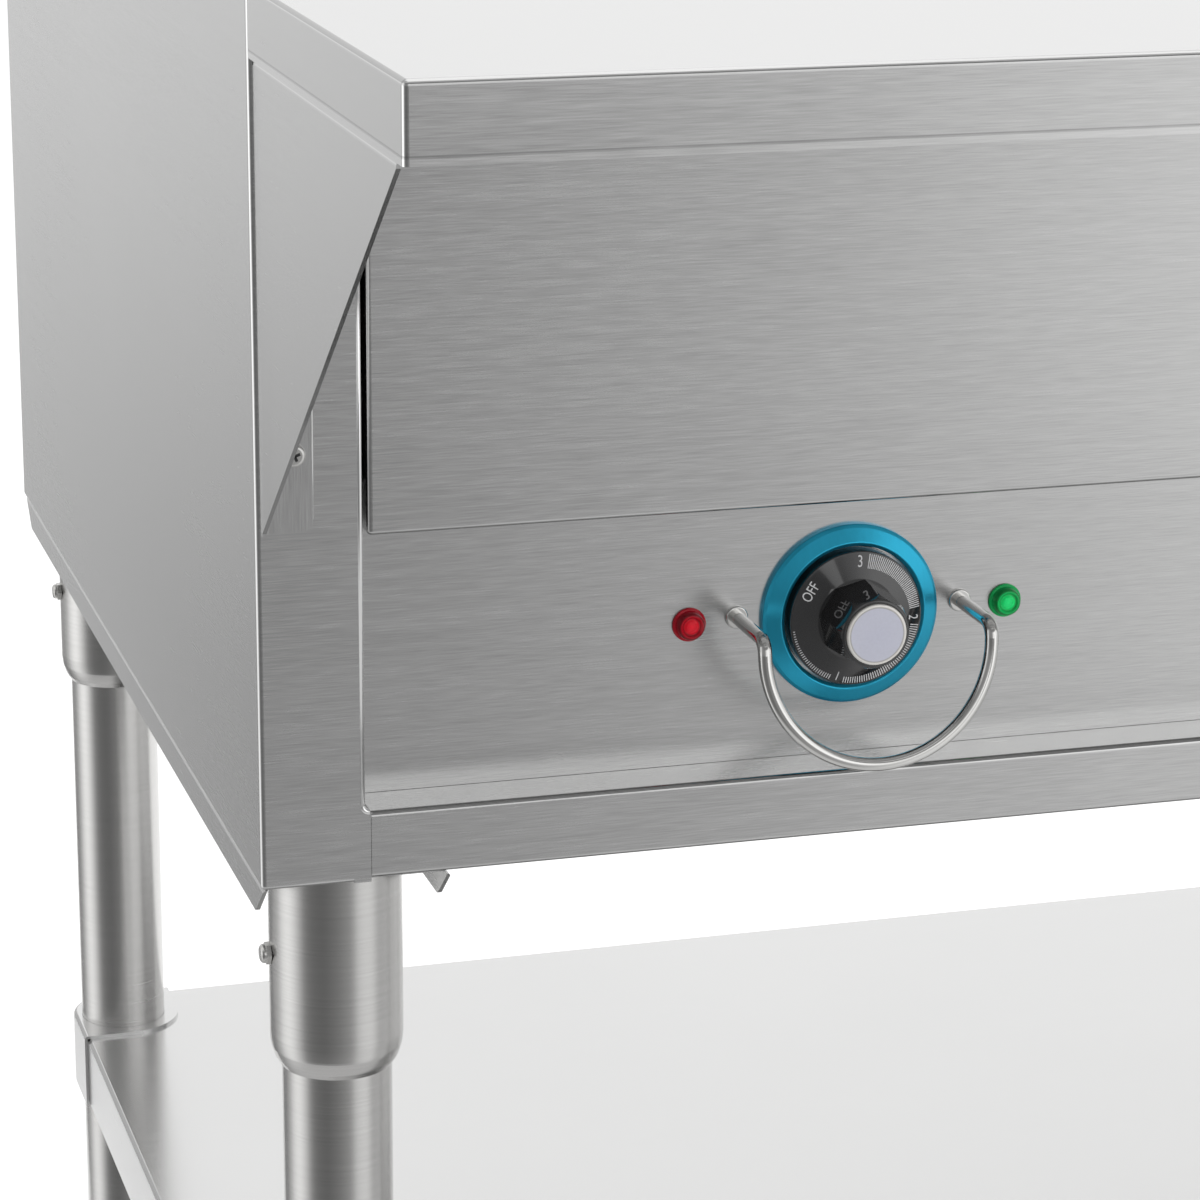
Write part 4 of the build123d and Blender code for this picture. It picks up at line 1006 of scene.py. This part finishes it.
# %% Helper: brightness by direction
world = bpy.data.worlds.new("studio_room")
bpy.context.scene.world = world
world.use_nodes = True
room = Network(world.node_tree)
direction = room.node("ShaderNodeTexCoord", output=0)
around = room.node("ShaderNodeTexGradient", {"gradient_type": "RADIAL"}, {0: direction}, output=1)
upwards = room.parts(direction)[2]
brightest = 2.0


def grey(glow):
    """A grey as a share of the brightest light in the room."""
    return (glow / brightest,) * 3


def ring_of_light(pairs):
    """Brightness by direction: 0 degrees is straight in front of the table, 90 is to its right."""
    stops = sorted((((angle + 90) % 360) / 360, grey(value)) for angle, value in pairs)
    seam = (stops[0][1][0] + stops[-1][1][0]) / 2
    stops = [(0.0, (seam,) * 3), *stops, (1.0, (seam,) * 3)]
    return room.node("ShaderNodeValToRGB", {"stops": stops}, {0: around})


print("a ring can be at most", brightest, "bright")

# %% Three rings of light
high_ring = ring_of_light(
    [
        (-112, 1.2), (-82, 0.8), (-60, 0.30), (-33, 0.25), (-10, 0.40), (0, 0.90), (8, 1.15), (14, 0.80),
        (25, 1.3), (40, 1.2), (60, 1.0), (85, 0.8), (112, 0.85), (136, 1.0), (160, 1.0), (184, 0.95),
        (196, 0.90), (216, 0.70), (232, 0.80),
    ]
)
level_ring = ring_of_light(
    [
        (-112, 1.6), (-97, 1.9), (-82, 1.1), (-70, 0.36), (-55, 0.19), (-33, 0.15), (-10, 0.22),
        (4, 0.28), (13, 0.20), (18, 0.38), (22, 0.85), (26, 1.25), (36, 1.3), (52, 1.1), (66, 0.60),
        (85, 0.68), (112, 0.82), (136, 1.0), (160, 1.0), (184, 0.93), (196, 0.82), (214, 0.60),
        (230, 0.80),
    ]
)
low_ring = ring_of_light(
    [
        (-100, 1.2), (-82, 0.75), (-69, 0.28), (-55, 0.19), (-33, 0.16), (-10, 0.24), (4, 0.33),
        (13, 0.38), (18, 0.47), (22, 0.62), (26, 0.76), (36, 0.86), (52, 0.92), (66, 0.52), (85, 0.64),
        (112, 0.75), (136, 0.9), (160, 0.7), (184, 0.28), (196, 0.20), (216, 0.33), (232, 0.65),
        (246, 1.10),
    ]
)
print("three rings painted")

# %% Put the rings together
beneath_glow = 0.62
dark_wall_glow = 0.22
ceiling_glow = 0.92
in_front = room.ramp(room.parts(direction)[1], -0.65, -0.35, 1.0, 0.0)
below = room.ramp(upwards, -0.40, -0.08, 1.0, 0.0)
beneath = room.ramp(upwards, -0.85, -0.55, 1.0, 0.0)
raised = room.ramp(upwards, -0.04, 0.06)
dark_wall = room.ramp(upwards, 0.40, 0.50) * in_front
above = room.ramp(upwards, 0.62, 0.80)
glow = room.blended(below, level_ring, low_ring)
glow = room.blended(beneath, glow, grey(beneath_glow))
glow = room.blended(raised, glow, high_ring)
glow = room.blended(dark_wall, glow, grey(dark_wall_glow))
glow = room.blended(above, glow, grey(ceiling_glow))
lit_room = room.node("ShaderNodeBackground", {}, {"Color": glow, "Strength": brightest})
white_paper = room.node("ShaderNodeBackground", {}, {"Color": (1, 1, 1, 1), "Strength": 1.0})
to_camera = room.outputs(room.node("ShaderNodeLightPath"))["Is Camera Ray"]
seen_room = room.node("ShaderNodeMixShader", {}, {0: to_camera, 1: lit_room, 2: white_paper})
room.node("ShaderNodeOutputWorld", {}, {0: seen_room})
print("room painted, and white paper for the camera")


# %% Lamps
def hang_lamp(name, place, target, size, watts, mirrored=True):
    """A soft rectangular lamp that looks at a point, and may be left out of reflections."""
    data = bpy.data.lights.new(name, "AREA")
    data.shape = "RECTANGLE"
    data.size, data.size_y = size
    data.energy = watts
    lamp = bpy.data.objects.new(name, data)
    look = (Vector(target) - Vector(place)).to_track_quat("-Z", "Y").to_matrix().to_4x4()
    lamp.matrix_world = Matrix.Translation(place) @ look
    bpy.context.scene.collection.objects.link(lamp)
    lamp.visible_camera = False
    lamp.visible_glossy = mirrored
    return lamp


hang_lamp("overhead_softbox", (0.2, 0.2, 3.0), (0.0, 0.1, 0.5), (2.4, 2.4), 20)
hang_lamp("front_right_softbox", (1.9, -2.3, 1.7), (0.0, -0.1, 0.6), (0.8, 1.2), 24, mirrored=False)
hang_lamp("front_strip_lamp", (0.15, -3.2, 0.66), (-0.1, -0.1, 0.64), (0.7, 0.24), 0.4)
print("room and lamps are on")
